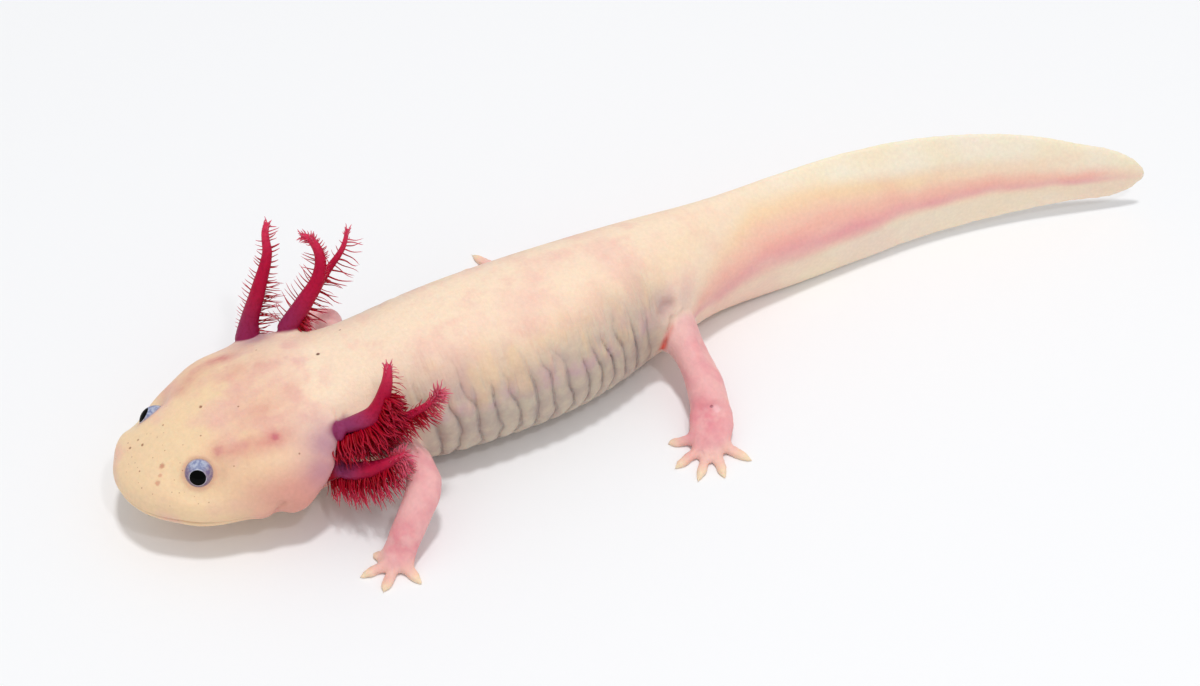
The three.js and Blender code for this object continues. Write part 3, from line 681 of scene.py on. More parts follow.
def shape_toes(places, normals, smoother):
    """Toes that stand further apart, with broad roots and slim tips, and lie softly on the floor."""
    reach, outward, on_foot = past_palm(places)
    rounded = smoother.smooth(places, 0.6 * on_foot, TOE_SHARPENING["rounds"])
    share = TOE_SHARPENING["strength"] * on_foot * (1 - step(0.7, 0.95, reach))
    sharper = (places - rounded) * share[:, None]
    sharper[:, 2] = 0
    inward = np.minimum((sharper * outward).sum(axis=1), 0)
    sharper += outward * (TOE_SHARPENING["gaps"] * inward)[:, None]
    fuller = np.interp(reach, TOE_FULLNESS["at"], TOE_FULLNESS["rise"]) * on_foot
    places = raised(places, normals, fuller) + sharper
    places[:, 2] -= TOE_SETTLING * on_foot * MM
    return smoother.smooth(places, 0.5 * on_foot * step(0.85, 1.0, reach), TOE_SHARPENING["tip_rounds"])


def shape_swellings(places, normals):
    for back, aside, up, spread, rise in SWELLINGS.values():
        for hand in (SIDES.values() if aside > 0 else [1]):
            away = away_from(places, spot(back, aside * hand, up))
            places = raised(places, normals, rise * hump(away, 0, spread))
    return places


def shape_creases(places, normals):
    """Creases with a soft welt on either side."""
    for crease in CREASES.values():
        width = crease["width"]
        for hand in SIDES.values():
            distance = from_line(places, crease["line"], hand)
            rise = 0.25 * hump(distance, 2.2 * width, width) - hump(distance, 0, width)
            places = raised(places, normals, rise * crease["depth"])
    return places


def past_gill_cover(back, up):
    """How far behind the gill cover's edge, in millimetres."""
    return back - np.interp(up, GILL_COVER["up"], GILL_COVER["back"])


def shape_gill_covers(places, normals):
    """The cheeks end in an edge that stands over the roots of the gills."""
    back, aside, up = in_head_terms(places)
    past = past_gill_cover(back, up)
    low, high = GILL_COVER["up"][0], GILL_COVER["up"][-1]
    share = band(up, low, low + 5, high - 4, high) * step(8, 12, np.abs(aside))
    rise = GILL_COVER["proud"] * band(past, -5, -0.6, -0.35, 0.35)
    sink = GILL_COVER["sunk"] * band(past, -0.35, 0.45, 1.5, 6)
    return raised(places, normals, (rise - sink) * share)


def mouth_offset(back, up):
    """How far above the mouth line, in millimetres, and how clear the line is there: 1 at the front,
    fainter behind and 0 past its corner."""
    share = np.clip(back / MOUTH["corner_back"], 0, 1)
    line = MOUTH["front"] + (MOUTH["corner"] - MOUTH["front"]) * share
    line -= MOUTH["sag"] * share * (1 - share) * 2
    clear = 1 - (1 - MOUTH["faint"]) * step(*MOUTH["fades"], back)
    return up - line, clear * step(MOUTH["corner_back"] + 0.6, MOUTH["corner_back"] - 0.8, back)


def shape_mouth(places, normals):
    """A crease between two low lips."""
    back, _, up = in_head_terms(places)
    offset, clear = mouth_offset(back, up)
    rise = -MOUTH["depth"] * hump(offset, 0, MOUTH["width"])
    for lip in LIPS.values():
        rise += lip["rise"] * hump(offset, lip["at"], lip["width"])
    return raised(places, normals, rise * clear)


def shape_tail(places):
    """Rounds the tail's tip by making it taller, then lifts the fins' edges and, less, the flesh between."""
    back, _, up = in_head_terms(places)
    share = (back.max() - back) / TAIL_TIP["reach"]
    level = np.interp(share, [0, 0.5, 1], TAIL_TIP["level"])
    up += TAIL_TIP["taller"] * step(1, 0, share) * (up - level)
    above = up - np.interp(back, TAIL_CORE["back"], TAIL_CORE["level"])
    top = np.interp(back, TAIL_LIFT["back"], TAIL_LIFT["top"])
    bottom = np.interp(back, TAIL_LIFT["back"], TAIL_LIFT["bottom"])
    places[:, 2] = (up + top * step(-1, 7, above) + bottom * step(1, -6, above)) * MM
    return places


def furrow_phase(places):
    """Counts furrows from the front: a whole number in each ridge's middle and a half in each furrow."""
    back, _, up = in_head_terms(places)
    start, end = FURROWS["from"], FURROWS["to"]
    share = np.clip((back - start) / (end - start), 0, 1)
    first, last = FURROWS["spacing"]
    count = (end - start) * share / (first + (last - first) * share / 2)
    count += 0.55 * step(8, 24, up) + 0.3 * step(10, 2, up)
    for strength, size, seed in FURROWS["wander"]:
        count += strength * wander(places, size, seed)
    return count


def furrow_share(places, normals):
    """1 where the furrows are full, fading to 0 at their upper and lower ends and fore and aft."""
    back, _, up = in_head_terms(places)
    start, end, low = FURROWS["from"], FURROWS["to"], FURROWS["low"]
    high = FURROWS["high"] + 1.2 * wander(places, 7, 5)
    share = band(back, start - 4, start + 5, end - 5, end + 2) * band(up, low - 2.5, low + 2, high - 9, high)
    return share * step(0.15, 0.6, np.abs(normals[:, 1]))


def hollow_shape(phase):
    """1 at the bottom of a furrow, falling quickly to 0 on the broad round ridge beside it."""
    ridge = np.abs(np.cos(math.pi * (phase + 0.5)))
    return (1 - np.clip(ridge, 0, 1) ** 0.55) ** 1.2


def shape_furrows(places, normals, on_body):
    """Broad ridges with narrow furrows between them, shallower towards the belly."""
    shallower = 0.35 + 0.65 * step(1.5, 7, in_head_terms(places)[2])
    rise = (0.25 - hollow_shape(furrow_phase(places))) * FURROWS["depth"]
    return raised(places, normals, rise * furrow_share(places, normals) * on_body * shallower)


def set_lids(places):
    """Shapes the skin to a round opening that meets the eyeball, with a low rim, in a slight mound."""
    for side in SIDES:
        height, radius = round_eye(places, side)
        near = (radius < 8) & (height > -2)
        ball = np.sqrt(np.maximum(EYE_RADIUS**2 - radius**2, 0))
        lid = math.sqrt(EYE_RADIUS**2 - EYE_OPENING**2) + LID["above_ball"]
        inside = np.minimum(ball - LID["tuck"], height)
        outside = lid + LID["rim"] * hump(radius, EYE_OPENING + 0.45, 0.4)
        outside -= LID["slope"] * (radius - EYE_OPENING)
        blend = step(EYE_OPENING + LID["mound"], EYE_OPENING + 0.3, radius) ** 1.5
        outer = height + (outside - height) * blend
        wanted = outer + (inside - outer) * step(EYE_OPENING + 0.02, EYE_OPENING - 0.28, radius)
        places[near] += np.outer((wanted - height)[near] * MM, eye_axis(side, EYE_FACING))
    return places


def sharpen_floor_line(mesh):
    """Keeps the flats on the floor from shading the sides that rise from them."""
    bm = bmesh.new()
    bm.from_mesh(mesh)
    for face in bm.faces:
        face.tag = max(vert.co.z for vert in face.verts) < 2 * FLOOR_GAP * MM
    for edge in bm.edges:
        edge.smooth = len({face.tag for face in edge.link_faces}) == 1
    bm.to_mesh(mesh)
    bm.free()


# ---------------------------------------------------------------- where the skin's colours lie
# The numbers in steps and bands are millimetres back, aside, up or away, or parts of a normal.
def patches_at(places, spots):
    """The strongest of some round patches at each place, on both sides."""
    return np.max([strength * hump(away_from(places, spot(back, aside * hand, up)), 0, spread)
                   for (back, aside, up), spread, strength in spots for hand in SIDES.values()], axis=0)


def lines_at(places, line, width):
    """1 along a line on either side, falling away over the width."""
    return np.max([hump(from_line(places, line, hand), 0, width) for hand in SIDES.values()], axis=0)


def gill_marks(places, normals, off_body, off_limbs):
    """The stalks and the red bed that they grow from, after what is stalk and what is limb, with a painted
    highlight on the stalks' upper sides.
    """
    back, aside, up = in_head_terms(places)
    share, distance, _, radius = stalk_shares(places)
    stalk = step(radius + 2, radius + 1, distance) * step(0.2, 0.9, off_body) * step(0.15, 0.6, off_limbs)
    stalk *= step(0.1, 0.2, share)
    bed = band(past_gill_cover(back, up), 0.1, 0.6, 5.0, 6.5) * band(up, 8.2, 9.4, 18.5, 20)
    bed *= step(radius + 3.2, radius + 2.2, distance) * step(11, 12, np.abs(aside))
    # Painted highlight: the stalks are paler and more purple on the side that faces up towards the lamps.
    lit_upper_side = step(-0.3, 0.8, normals @ np.array([-0.35, -0.3, 0.9]))
    limb = step(0.2, 1.5, off_body) * step(3.0, 1.2, off_limbs) * (1 - step(0.05, 0.3, stalk))
    return stalk, limb, {
        "stalk": np.maximum(stalk, bed),
        "gill_bed": bed * (1 - stalk),
        "stalk_share": share,
        "stalk_highlight": lit_upper_side * (0.68 - 0.22 * np.sign(aside)),
    }


def limb_marks(places, limb, off_body):
    """The pink limbs, with pale toes, reddened wrists and a red line in front of the thigh."""
    reach, _, on_foot = past_palm(places)
    pale = 0.25 * step(0.2, 0.5, reach) + 0.65 * step(0.55, 1.05, reach)
    wrist = np.max([hump(away_from(places, ankle(name)[0]), 0, 4.0) for name in LIMBS], axis=0)
    crotch = lines_at(places, CROTCH["line"], CROTCH["width"])
    return {
        "limb": limb,
        "limb_root": step(6, 1, off_body),
        "toe": pale * on_foot * step(0.3, 1.2, off_body),
        "wrist": wrist * limb,
        "crotch": crotch * (0.35 + 0.6 * step(14.5, 10.0, in_head_terms(places)[2])),
    }


def tail_marks(places, side, off_limb):
    """The tail's pink core and the gold along its upper edge and along the back, and the pale fins."""
    back, _, up = in_head_terms(places)
    level = np.interp(back, TAIL_CORE["back"], TAIL_CORE["level"])
    half = np.interp(back, TAIL_CORE["back"], TAIL_CORE["half"])
    top, bottom = level + half, level - half
    ragged = 0.3 * wander(places, 9, 11)
    above = (up - level + ragged) / half
    core = band(above, -1.6, -0.5, 0.0, 1.8)
    core *= 0.75 * step(111, 119, back) + 0.25 * step(120, 150, back + 14 * step(0.5, -0.8, above))
    gold = hump(up, top + 1.4, 2.4) * band(back, 116, 140, 165, 205)
    gold = np.maximum(gold, 0.55 * hump(up, 25.5, 2.6) * band(back, 52, 80, 118, 140) * side)
    fin = np.maximum(step(top + 1.5, top + 5, up), step(bottom, bottom - 2.5, up))
    fin = np.maximum(fin, step(203, 224, back)) * (0.6 + 0.4 * step(bottom, level, up))
    return {
        "core": core * off_limb * (1 - 0.12 * step(165, 195, back)) * step(237, 214, back),
        "core_low": step(0.4, -0.8, above),
        "gold": gold * off_limb,
        "fin": fin * step(125, 165, back) * off_limb,
    }


def trunk_marks(places, normals, side, off_limb):
    """The grey flanks and belly, partly painted shade, the furrows with painted shade in them, and the fine
    wrinkles above them.
    """
    back, _, up = in_head_terms(places)
    # Grey on the trunk's side- and down-facing skin: partly the flanks' own grey, partly painted shade on the
    # sides and underside.
    flank = step(29.5, 19.5, up + 1.0 * wander(places, 8, 17)) * step(0.1, 0.65, side)
    flank = np.maximum(flank * step(46, 60, back), step(-0.4, -0.8, normals[:, 2]) * step(38, 60, back))
    phase, folded = furrow_phase(places), furrow_share(places, normals) * off_limb
    wrinkled = band(up, 15, 20, 25, 29) * band(back, 50, 64, 104, 118)
    return {
        "flank": flank * step(116, 106, back) * off_limb,
        # Painted shade: darkest at the bottom of each furrow.
        "furrow": hollow_shape(phase) * folded,
        "furrow_turn": math.pi * (phase + 0.5),
        "furrow_share": folded,
        # Lilac at the furrows' upper ends: partly the skin's own colour, partly painted shade.
        "furrow_top_lilac_and_shade": folded * band(up, 15, 18, 20, 23),
        "wrinkled": wrinkled * step(0.1, 0.4, side) * off_limb,
        "trunk": band(back, 43, 52, 120, 150) * off_limb,
    }


def head_marks(places, normals, side, stalk):
    """The lids and flushed patches, painted shade along the mouth line and in the creases, and where the
    freckles lie.
    """
    back, aside, up = in_head_terms(places)
    offset, clear = mouth_offset(back, up)
    creases = [crease["painted_shade"] * lines_at(places, crease["line"], crease["width"])
               for crease in CREASES.values()]
    lids = [hump(radius, EYE_OPENING + 0.2, 0.55) * step(-1, 1, height)
            for height, radius in (round_eye(places, name) for name in SIDES)]
    return {
        # Painted shade along the mouth's crease, on the head's sides.
        "mouth": hump(offset, -0.05, 0.28) * clear * step(0.75, 0.35, np.abs(normals[:, 2])),
        "blush": patches_at(places, BLUSH),
        "lavender_and_hip_shade": patches_at(places, LAVENDER_AND_HIP_SHADE),
        "cheek": band(back, 13, 28, 39, 43) * step(0.1, 0.7, side) * step(21.5, 15, up) * (1 - stalk),
        "crease": np.max(creases, axis=0),
        "head": step(44, 20, back),
        "lid": np.max(lids, axis=0),
        "mottled": band(back, 15, 24, 39, 47) * step(0.15, 0.6, normals[:, 2]) * step(16, 12, np.abs(aside)),
        "crown": step(62, 45, back) * step(0.3, 0.9, normals[:, 2]),
        "snout": step(19, 11, back) * step(0.1, 0.6, normals[:, 2]),
    }


def mark_skin(mesh, off_body, off_limbs):
    """Keeps on the mesh where each colour lies, as shares from 0 to 1."""
    places, normals = places_of(mesh), normals_of(mesh)
    side = np.abs(normals[:, 1])
    stalk, limb, marks = gill_marks(places, normals, off_body, off_limbs)
    marks |= limb_marks(places, limb, off_body)
    marks |= tail_marks(places, side, 1 - limb)
    marks |= trunk_marks(places, normals, side, 1 - limb)
    marks |= head_marks(places, normals, side, stalk)
    for name, values in marks.items():
        store(mesh, name, values)


# ---------------------------------------------------------------- eyes and gill filaments
def make_eye(side):
    """An eyeball with its poles on the pupil's axis."""
    name, centre, axis = f"eyeball_{side}", eye_centre(side), eye_axis(side, PUPIL_FACING[side])
    bm = bmesh.new()
    bmesh.ops.create_uvsphere(bm, u_segments=64, v_segments=48, radius=EYE_RADIUS * MM)
    bmesh.ops.rotate(bm, verts=bm.verts, matrix=axis.to_track_quat("Z", "Y").to_matrix())
    bmesh.ops.translate(bm, verts=bm.verts, vec=centre)
    bmesh.ops.recalc_face_normals(bm, faces=bm.faces)
    mesh = mesh_from(bm, name)
    mesh.shade_smooth()
    ways = unit(places_of(mesh) - np.array(centre))
    for mark, middle in (("from_pupil", axis), ("from_middle", eye_axis(side, EYE_FACING))):
        store(mesh, mark, np.degrees(np.arccos(np.clip(ways @ np.array(middle), -1, 1))))
    store(mesh, "upward", ways[:, 2])
    mesh.materials.append(FINISHES["eye"])
    eyeball = new_object(name, mesh)
    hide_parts(EYES[side])
    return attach(eyeball, "root")


def filament_form():
    """One straight filament of unit length and radius along +Z: its corners, and its faces by corner,
    always in the same order."""
    bm = bmesh.new()
    ring = bmesh.ops.create_circle(bm, segments=FILAMENT["sides"], radius=1)["verts"]
    edges = list(bm.edges)
    for _ in range(FILAMENT["rings"]):
        made = bmesh.ops.extrude_edge_only(bm, edges=edges)["geom"]
        edges = [item for item in made if isinstance(item, bmesh.types.BMEdge)]
        ring = [item for item in made if isinstance(item, bmesh.types.BMVert)]
        bmesh.ops.translate(bm, verts=ring, vec=(0, 0, 1 / FILAMENT["rings"]))
    bmesh.ops.pointmerge(bm, verts=ring, merge_co=(0, 0, 1))
    bmesh.ops.recalc_face_normals(bm, faces=bm.faces)
    corners = np.array([tuple(vert.co) for vert in bm.verts])
    faces = [[vert.index for vert in face.verts] for face in bm.faces]
    bm.free()
    least_first = [face[face.index(min(face)):] + face[:face.index(min(face))] for face in faces]
    return corners, sorted(least_first)


def sampled(values, share):
    """Rows of values, read at shares of their number."""
    steps = np.arange(len(values))
    return np.stack([np.interp(share * steps[-1], steps, column) for column in values.T], axis=1)


def lay_row(line, girth, row, draw):
    """Where the filaments of one row start, point, bend and end, and their places on the stalk."""
    count, lines = row.count, row.lines
    start, end = row.span
    even = np.concatenate([(np.arange(count) + (i % 2) / 2) / count for i in range(lines)])
    total = len(even)
    uneven = draw.uniform(-UNEVEN["place"], UNEVEN["place"], total) / count
    share = start + (end - start) * np.clip(even + uneven, 0, 1)
    fan = np.repeat(np.linspace(-0.5, 0.5, lines), count) * row.fan
    centre, ahead = sampled(line, share), unit(sampled(np.gradient(line, axis=0), share))
    way = np.array(row.way, float)
    out = unit(way - ahead * (ahead @ way)[:, None])
    turn = np.radians(fan + draw.normal(0, UNEVEN["turn"], total))[:, None]
    out = out * np.cos(turn) + np.cross(ahead, out) * np.sin(turn)
    lean = np.radians(row.lean + draw.normal(0, UNEVEN["lean"], total))[:, None]
    bend = ahead * row.sweep + np.array([0, 0, -row.droop]) + draw.normal(0, UNEVEN["bend"], (total, 3))
    length = along(row.lengths, (share - start) / (end - start)) * draw.uniform(*UNEVEN["length"], total)
    return {
        "root": centre + out * (along(STALK_RADII, share) * girth * ROOT_DEPTH * MM)[:, None],
        "way": unit(out * np.cos(lean) + ahead * np.sin(lean)),
        "bend": bend,
        "length": length * MM,
        "share": share,
        "turn": np.arctan2(out[:, 1], out[:, 2]) / (2 * math.pi) % 1,
        "thick": np.full(total, row.thick),
        "pale": np.full(total, row.pale),
    }


def make_filaments(name, gill, seed):
    """All the filaments of one gill, as one mesh of copies of one tapered form, each bent its own way."""
    draw = np.random.default_rng(seed)
    line = curve_through(gill["path"], 200)
    rows = [lay_row(line, gill["girth"], row, draw) for row in gill["rows"]]
    laid = {key: np.concatenate([row[key] for row in rows]) for key in rows[0]}
    form, form_faces = filament_form()
    total, each = len(laid["root"]), len(form)
    way, bend, t = laid["way"][:, None], laid["bend"][:, None], form[None, :, 2:3]
    aside = unit(np.cross(way, bend + np.array([0.013, 0.017, 0.011])))
    rate, start = draw.uniform(*UNEVEN["wave"], (total, 1, 1)), draw.uniform(*ANY_PHASE, (total, 1, 1))
    wave = FILAMENT["waviness"] * t * np.sin(t * rate + start)
    centre = way * t + bend * t * t / 2 + aside * wave
    centre = laid["root"][:, None] + laid["length"][:, None, None] * centre
    ahead = unit(way + bend * t + aside * FILAMENT["waviness"] * np.cos(t * rate + start))
    across = unit(np.cross(ahead, aside))
    other = np.cross(ahead, across)
    taper = FILAMENT["root"] + (FILAMENT["tip"] - FILAMENT["root"]) * t
    radius = taper * MM * (laid["thick"] * draw.uniform(*UNEVEN["girth"], total))[:, None, None]
    places = centre + radius * (across * form[None, :, 0:1] + other * form[None, :, 1:2])
    faces = [[corner + each * i for corner in face] for i in range(total) for face in form_faces]
    mesh = bpy.data.meshes.new(name)
    mesh.from_pydata(places.reshape(-1, 3).tolist(), [], faces)
    mesh.shade_smooth()
    store(mesh, "step_out", np.tile(form[:, 2], total))
    store(mesh, "tone", np.repeat(draw.uniform(0, 1, total), each))
    store(mesh, "stalk_share", np.repeat(laid["share"], each))
    store(mesh, "pale", np.repeat(laid["pale"], each))
    middle = BAKE_EDGE + (1 - 2 * BAKE_EDGE) * np.stack([laid["share"], laid["turn"]], axis=1)
    within = np.stack([form[:, 2] - 0.5, form[:, 0] / 2], axis=1) * BAKE_PATCH
    lay_bake_map(mesh, (middle[:, None] + within[None]).reshape(-1, 2))
    mesh.materials.append(FINISHES["gill"])
    piece = new_object(name, mesh)
    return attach(piece, "root")


def lay_bake_map(mesh, places):
    """Lays a mesh out for the export, from a place on the map for each vertex."""
    corners = np.empty(len(mesh.loops), np.int32)
    mesh.loops.foreach_get("vertex_index", corners)
    layer = mesh.uv_layers.new(name="OFBake")
    layer.data.foreach_set("uv", places[corners].astype(np.float32).ravel())


# ---------------------------------------------------------------- finishes
def colour(code):
    """A linear colour from its usual six-digit code."""
    values = [int(code[i:i + 2], 16) / 255 for i in (0, 2, 4)]
    return tuple(v / 12.92 if v <= 0.04045 else ((v + 0.055) / 1.055) ** 2.4 for v in values) + (1.0,)


class Finish:
    """Builds one material's nodes. A value may be a number, a colour's code or a node's socket."""

    def __init__(self, name):
        self.material = bpy.data.materials.new(name)
        self.material.use_nodes = True
        self.nodes = self.material.node_tree.nodes
        self.links = self.material.node_tree.links
        self.shader = self.nodes["Principled BSDF"]

    def add(self, kind, inputs=(), **settings):
        """A node with some settings, and values for its inputs by name or number."""
        node = self.nodes.new(kind)
        for key, value in settings.items():
            setattr(node, key, value)
        for key, value in dict(inputs).items():
            self.join(value, node.inputs[key])
        return node

    def join(self, value, socket):
        """Feeds a socket from another, or sets it where the value is a plain one."""
        if isinstance(value, bpy.types.NodeSocket):
            self.links.new(value, socket)
        else:
            socket.default_value = colour(value) if isinstance(value, str) else value

    def set(self, **values):
        """Sets the shader's own sockets: spaces in their names are underscores here."""
        for key, value in values.items():
            self.join(value, self.shader.inputs[key.replace("_", " ")])

    def kept(self, name):
        """A value kept on the mesh."""
        return self.add("ShaderNodeAttribute", attribute_name=name).outputs["Fac"]

    def place(self, stretch=(1, 1, 1)):
        here = self.add("ShaderNodeTexCoord").outputs["Object"]
        if stretch == (1, 1, 1):
            return here
        return self.add("ShaderNodeMapping", {"Scale": stretch, "Vector": here}).outputs["Vector"]

    def noise(self, size, detail, stretch=(1, 1, 1), roughness=0.5):
        """Noise whose patches are so many millimetres across."""
        inputs = {"Vector": self.place(stretch), "Scale": 1 / (size * MM)}
        inputs |= {"Detail": detail, "Roughness": roughness}
        return self.add("ShaderNodeTexNoise", inputs).outputs["Fac"]

    def between(self, value, low, high):
        """0 where the value is low and 1 where it is high, smooth between."""
        inputs = {"Value": value, "From Min": low, "From Max": high}
        return self.add("ShaderNodeMapRange", inputs, interpolation_type="SMOOTHSTEP").outputs["Result"]

    def patches(self, size, detail, low, high, **settings):
        """Soft patches, so many millimetres across, where noise is between low and high."""
        return self.between(self.noise(size, detail, **settings), low, high)

    def maths(self, operation, *values):
        return self.add("ShaderNodeMath", dict(enumerate(values)), operation=operation).outputs[0]

    def times(self, first, *others):
        for other in others:
            first = self.maths("MULTIPLY", first, other)
        return first

    def over(self, below, above, *shares):
        """One colour over another, by the product of some shares."""
        node = self.add("ShaderNodeMix", data_type="RGBA")
        self.join(self.times(*shares), node.inputs["Factor"])
        colours = [socket for socket in node.inputs if socket.type == "RGBA"]
        self.join(below, colours[0])
        self.join(above, colours[1])
        return next(socket for socket in node.outputs if socket.type == "RGBA")

    def bump(self, height, distance, strength, below=None):
        inputs = {"Strength": strength, "Distance": distance * MM, "Height": height}
        if below is not None:
            inputs["Normal"] = below
        return self.add("ShaderNodeBump", inputs).outputs["Normal"]

    def mole(self, place, reach):
        """1 in the middle of a round spot with a ragged edge."""
        inputs = {0: self.place(), 1: spot(*place)}
        distance = self.add("ShaderNodeVectorMath", inputs, operation="DISTANCE").outputs["Value"]
        ragged = self.maths("ADD", self.times(self.noise(0.9, 2), 1.4), 0.35)
        return self.between(self.times(distance, ragged), reach * MM, 0.3 * reach * MM)

    def freckles(self, size, share, reach):
        """1 in the middle of small round spots, one in some of many scattered cells."""
        cells = self.add("ShaderNodeTexVoronoi", {"Vector": self.place(), "Scale": 1 / (size * MM)})
        random = self.add("ShaderNodeSeparateColor", {"Color": cells.outputs["Color"]}).outputs["Red"]
        chosen = self.between(random, 1 - share, 1.02 - share)
        return self.times(self.between(cells.outputs["Distance"], reach / size, 0.5 * reach / size), chosen)


def limb_colour(f):
    limb = f.over("EFB8B6", "E8A6A9", f.patches(5, 3, 0.38, 0.66))
    limb = f.over(limb, "E9C4BC", f.kept("limb_root"), 0.6)
    limb = f.over(limb, "E07888", f.kept("wrist"), f.patches(2.6, 2, 0.3, 0.65), 0.65)
    limb = f.over(limb, "FBE0BE", f.kept("toe"))
    return f.over(limb, "D8301E", f.kept("crotch"))


def stalk_colour(f):
    stalk = f.over("9A0A48", "B20A38", f.between(f.kept("stalk_share"), 0.3, 0.6))
    # top is the painted highlight, a paler purple over the stalks' crimson on their upper sides.
    top = f.over("8A4470", "B41840", f.between(f.kept("stalk_share"), 0.36, 0.66))
    stalk = f.over(stalk, top, f.kept("stalk_highlight"), 0.72)
    stalk = f.over(stalk, "D6365A", f.between(f.kept("stalk_share"), 0.75, 1.0))
    stalk = f.over(stalk, "7A0830", f.patches(0.6, 3, 0.46, 0.68), 0.3)
    return f.over(stalk, "98041E", f.kept("gill_bed"))


def skin_finish():
    """Moist pale skin: cream back, straw head, grey folded flanks, a pink tail core and pink limbs, with
    painted shade on the trunk's sides and underside, in the furrows, creases, mouth line and hip's hollow,
    and a painted highlight on the gill stalks.
    """
    f = Finish("moist skin")
    base = f.over("F8DFC6", "F3CFBD", f.patches(16, 3, 0.42, 0.66))
    base = f.over(base, "EFD0A6", f.kept("head"), 0.8)
    base = f.over(base, "EDC3AE", f.kept("head"), f.patches(11, 2, 0.5, 0.72))
    base = f.over(base, "EBB0A8", f.kept("trunk"), f.patches(6.5, 3, 0.46, 0.7, roughness=0.6), 0.3)
    base = f.over(base, "DE9C9E", f.kept("mottled"), f.patches(5, 3, 0.42, 0.68), 0.36)
    base = f.over(base, "F9D6A2", f.kept("gold"), 0.5)
    # The flanks' grey, partly painted shade on the trunk's sides and underside.
    base = f.over(base, f.over("C6B9A6", "B9A99D", f.patches(3, 3, 0.35, 0.65)), f.kept("flank"), 0.9)
    # Painted shade in the furrows: a broad darkening here, and a thin dark line at each groove's bottom
    # below.
    base = f.over(base, "927C86", f.kept("furrow"), 0.45)
    # Lilac at the furrows' upper ends, partly painted shade.
    base = f.over(base, "C49CAE", f.kept("furrow_top_lilac_and_shade"), f.patches(4, 2, 0.38, 0.66), 0.55)
    # A thin line of painted shade along the bottom of each groove, which also drives a bump.
    ridge = f.maths("ABSOLUTE", f.maths("COSINE", f.kept("furrow_turn")))
    groove = f.times(f.between(ridge, 0.34, 0.0), f.kept("furrow_share"))
    base = f.over(base, "866E70", groove, 0.2)
    wrinkles = f.patches(1.9, 2, 0.42, 0.62, stretch=(1, 0.18, 0.18))
    tinge = f.over("EDC8A0", "E0B6AA", f.patches(7, 1, 0.4, 0.6))
    base = f.over(base, tinge, f.kept("wrinkled"), f.maths("ADD", f.times(wrinkles, 0.34), 0.12))
    base = f.over(base, f.over("F5EDDA", "F5EACF", f.patches(12, 1, 0.3, 0.7)), f.kept("fin"), 0.85)
    pink = f.over("F6B3A4", "EAA3A8", f.kept("core_low"))
    streaks = f.patches(3.5, 3, 0.25, 0.75, stretch=(0.25, 1, 1))
    base = f.over(base, pink, f.kept("core"), f.maths("ADD", f.times(streaks, 0.3), 0.66))
    base = f.over(base, "D98E88", f.kept("cheek"), 0.75)
    blotch = f.patches(4.2, 2, 0.34, 0.68, stretch=(0.7, 1, 1))
    base = f.over(base, "CC666E", f.kept("blush"), f.maths("ADD", f.times(blotch, 0.35), 0.4))
    base = f.over(base, "D8301E", f.kept("crotch"))
    # Purple-grey skin colour near the gills, and painted shade in the hip's hollow.
    base = f.over(base, "B4829A", f.kept("lavender_and_hip_shade"), 0.85)
    # Painted shade in the creases.
    base = f.over(base, "9A6672", f.kept("crease"))
    base = f.over(base, "D89C88", f.kept("lid"), 0.5)
    base = f.over(base, limb_colour(f), f.kept("limb"))
    base = f.over(base, stalk_colour(f), f.kept("stalk"))
    # Painted shade along the mouth's crease.
    base = f.over(base, "A9705C", f.kept("mouth"), 0.32)
    for place, reach, shade, strength in MOLES:
        base = f.over(base, shade, f.mole(place, reach), strength)
    for size, share, reach, mark, strength in FRECKLES:
        base = f.over(base, "9A5E42", f.freckles(size, share, reach), f.kept(mark), strength)
    fine = f.maths("ADD", f.times(f.noise(0.8, 3), 0.16), 0.92)
    base = f.add("ShaderNodeVectorMath", {0: base, "Scale": fine}, operation="SCALE").outputs["Vector"]
    f.set(Base_Color=base, Roughness=0.45, IOR=1.4, Specular_IOR_Level=0.16, Subsurface_Weight=0.3,
          Subsurface_Scale=0.0018, Subsurface_Radius=(1.0, 0.45, 0.3))
    folds = f.noise(0.9, 2, stretch=(1, 0.16, 0.16))
    grain = f.bump(f.noise(0.5, 2), 0.1, 0.7)
    grain = f.bump(f.times(wrinkles, f.kept("wrinkled")), 0.22, 0.6, grain)
    grain = f.bump(f.times(folds, f.kept("trunk")), 0.14, 0.6, grain)
    grain = f.bump(f.maths("SUBTRACT", 1.0, groove), 0.18, 0.8, grain)
    f.set(Normal=f.bump(f.noise(1.8, 3), 0.18, 0.5, grain))
    return f.material


def gill_finish():
    """Wet dark red filaments, lighter towards their tips."""
    f = Finish("gill filaments")
    base = f.over("940010", "B00428", f.kept("tone"))
    base = f.over(base, "E04A6E", f.kept("pale"), f.between(f.kept("step_out"), 0.35, 1.0), 0.7)
    base = f.over(base, "F07C96", f.between(f.kept("stalk_share"), 0.78, 1.0), 0.65)
    f.set(Base_Color=base, Roughness=0.3, Specular_IOR_Level=0.12, Subsurface_Weight=0.4,
          Subsurface_Scale=0.0006, Subsurface_Radius=(1.0, 0.25, 0.2))
    return f.material


def eye_finish():
    """A black pupil in a pale ring and a grey-blue iris that is more purple below, under a wet cornea."""
    f = Finish("eyeball")
    angle = f.kept("from_pupil")
    patches = f.patches(0.55, 3, 0.34, 0.68)
    low, high = f.over("7C6C90", "A0909C", patches), f.over("848CB0", "B6BCD0", patches)
    iris = f.over(low, high, f.between(f.kept("upward"), 0.58, 0.92))
    iris = f.over(iris, "C0A4A4", f.between(f.kept("from_middle"), 50, 62), 0.8)
    iris = f.over(iris, "D4D6E0", f.between(angle, 35, 31.5), f.patches(0.9, 1, 0.35, 0.6), 0.7)
    base = f.over("000000", iris, f.between(angle, 29.5, 31))
    f.set(Base_Color=base, Roughness=0.5, Specular_IOR_Level=0.0, Coat_Weight=0.15, Coat_Roughness=0.03)
    return f.material


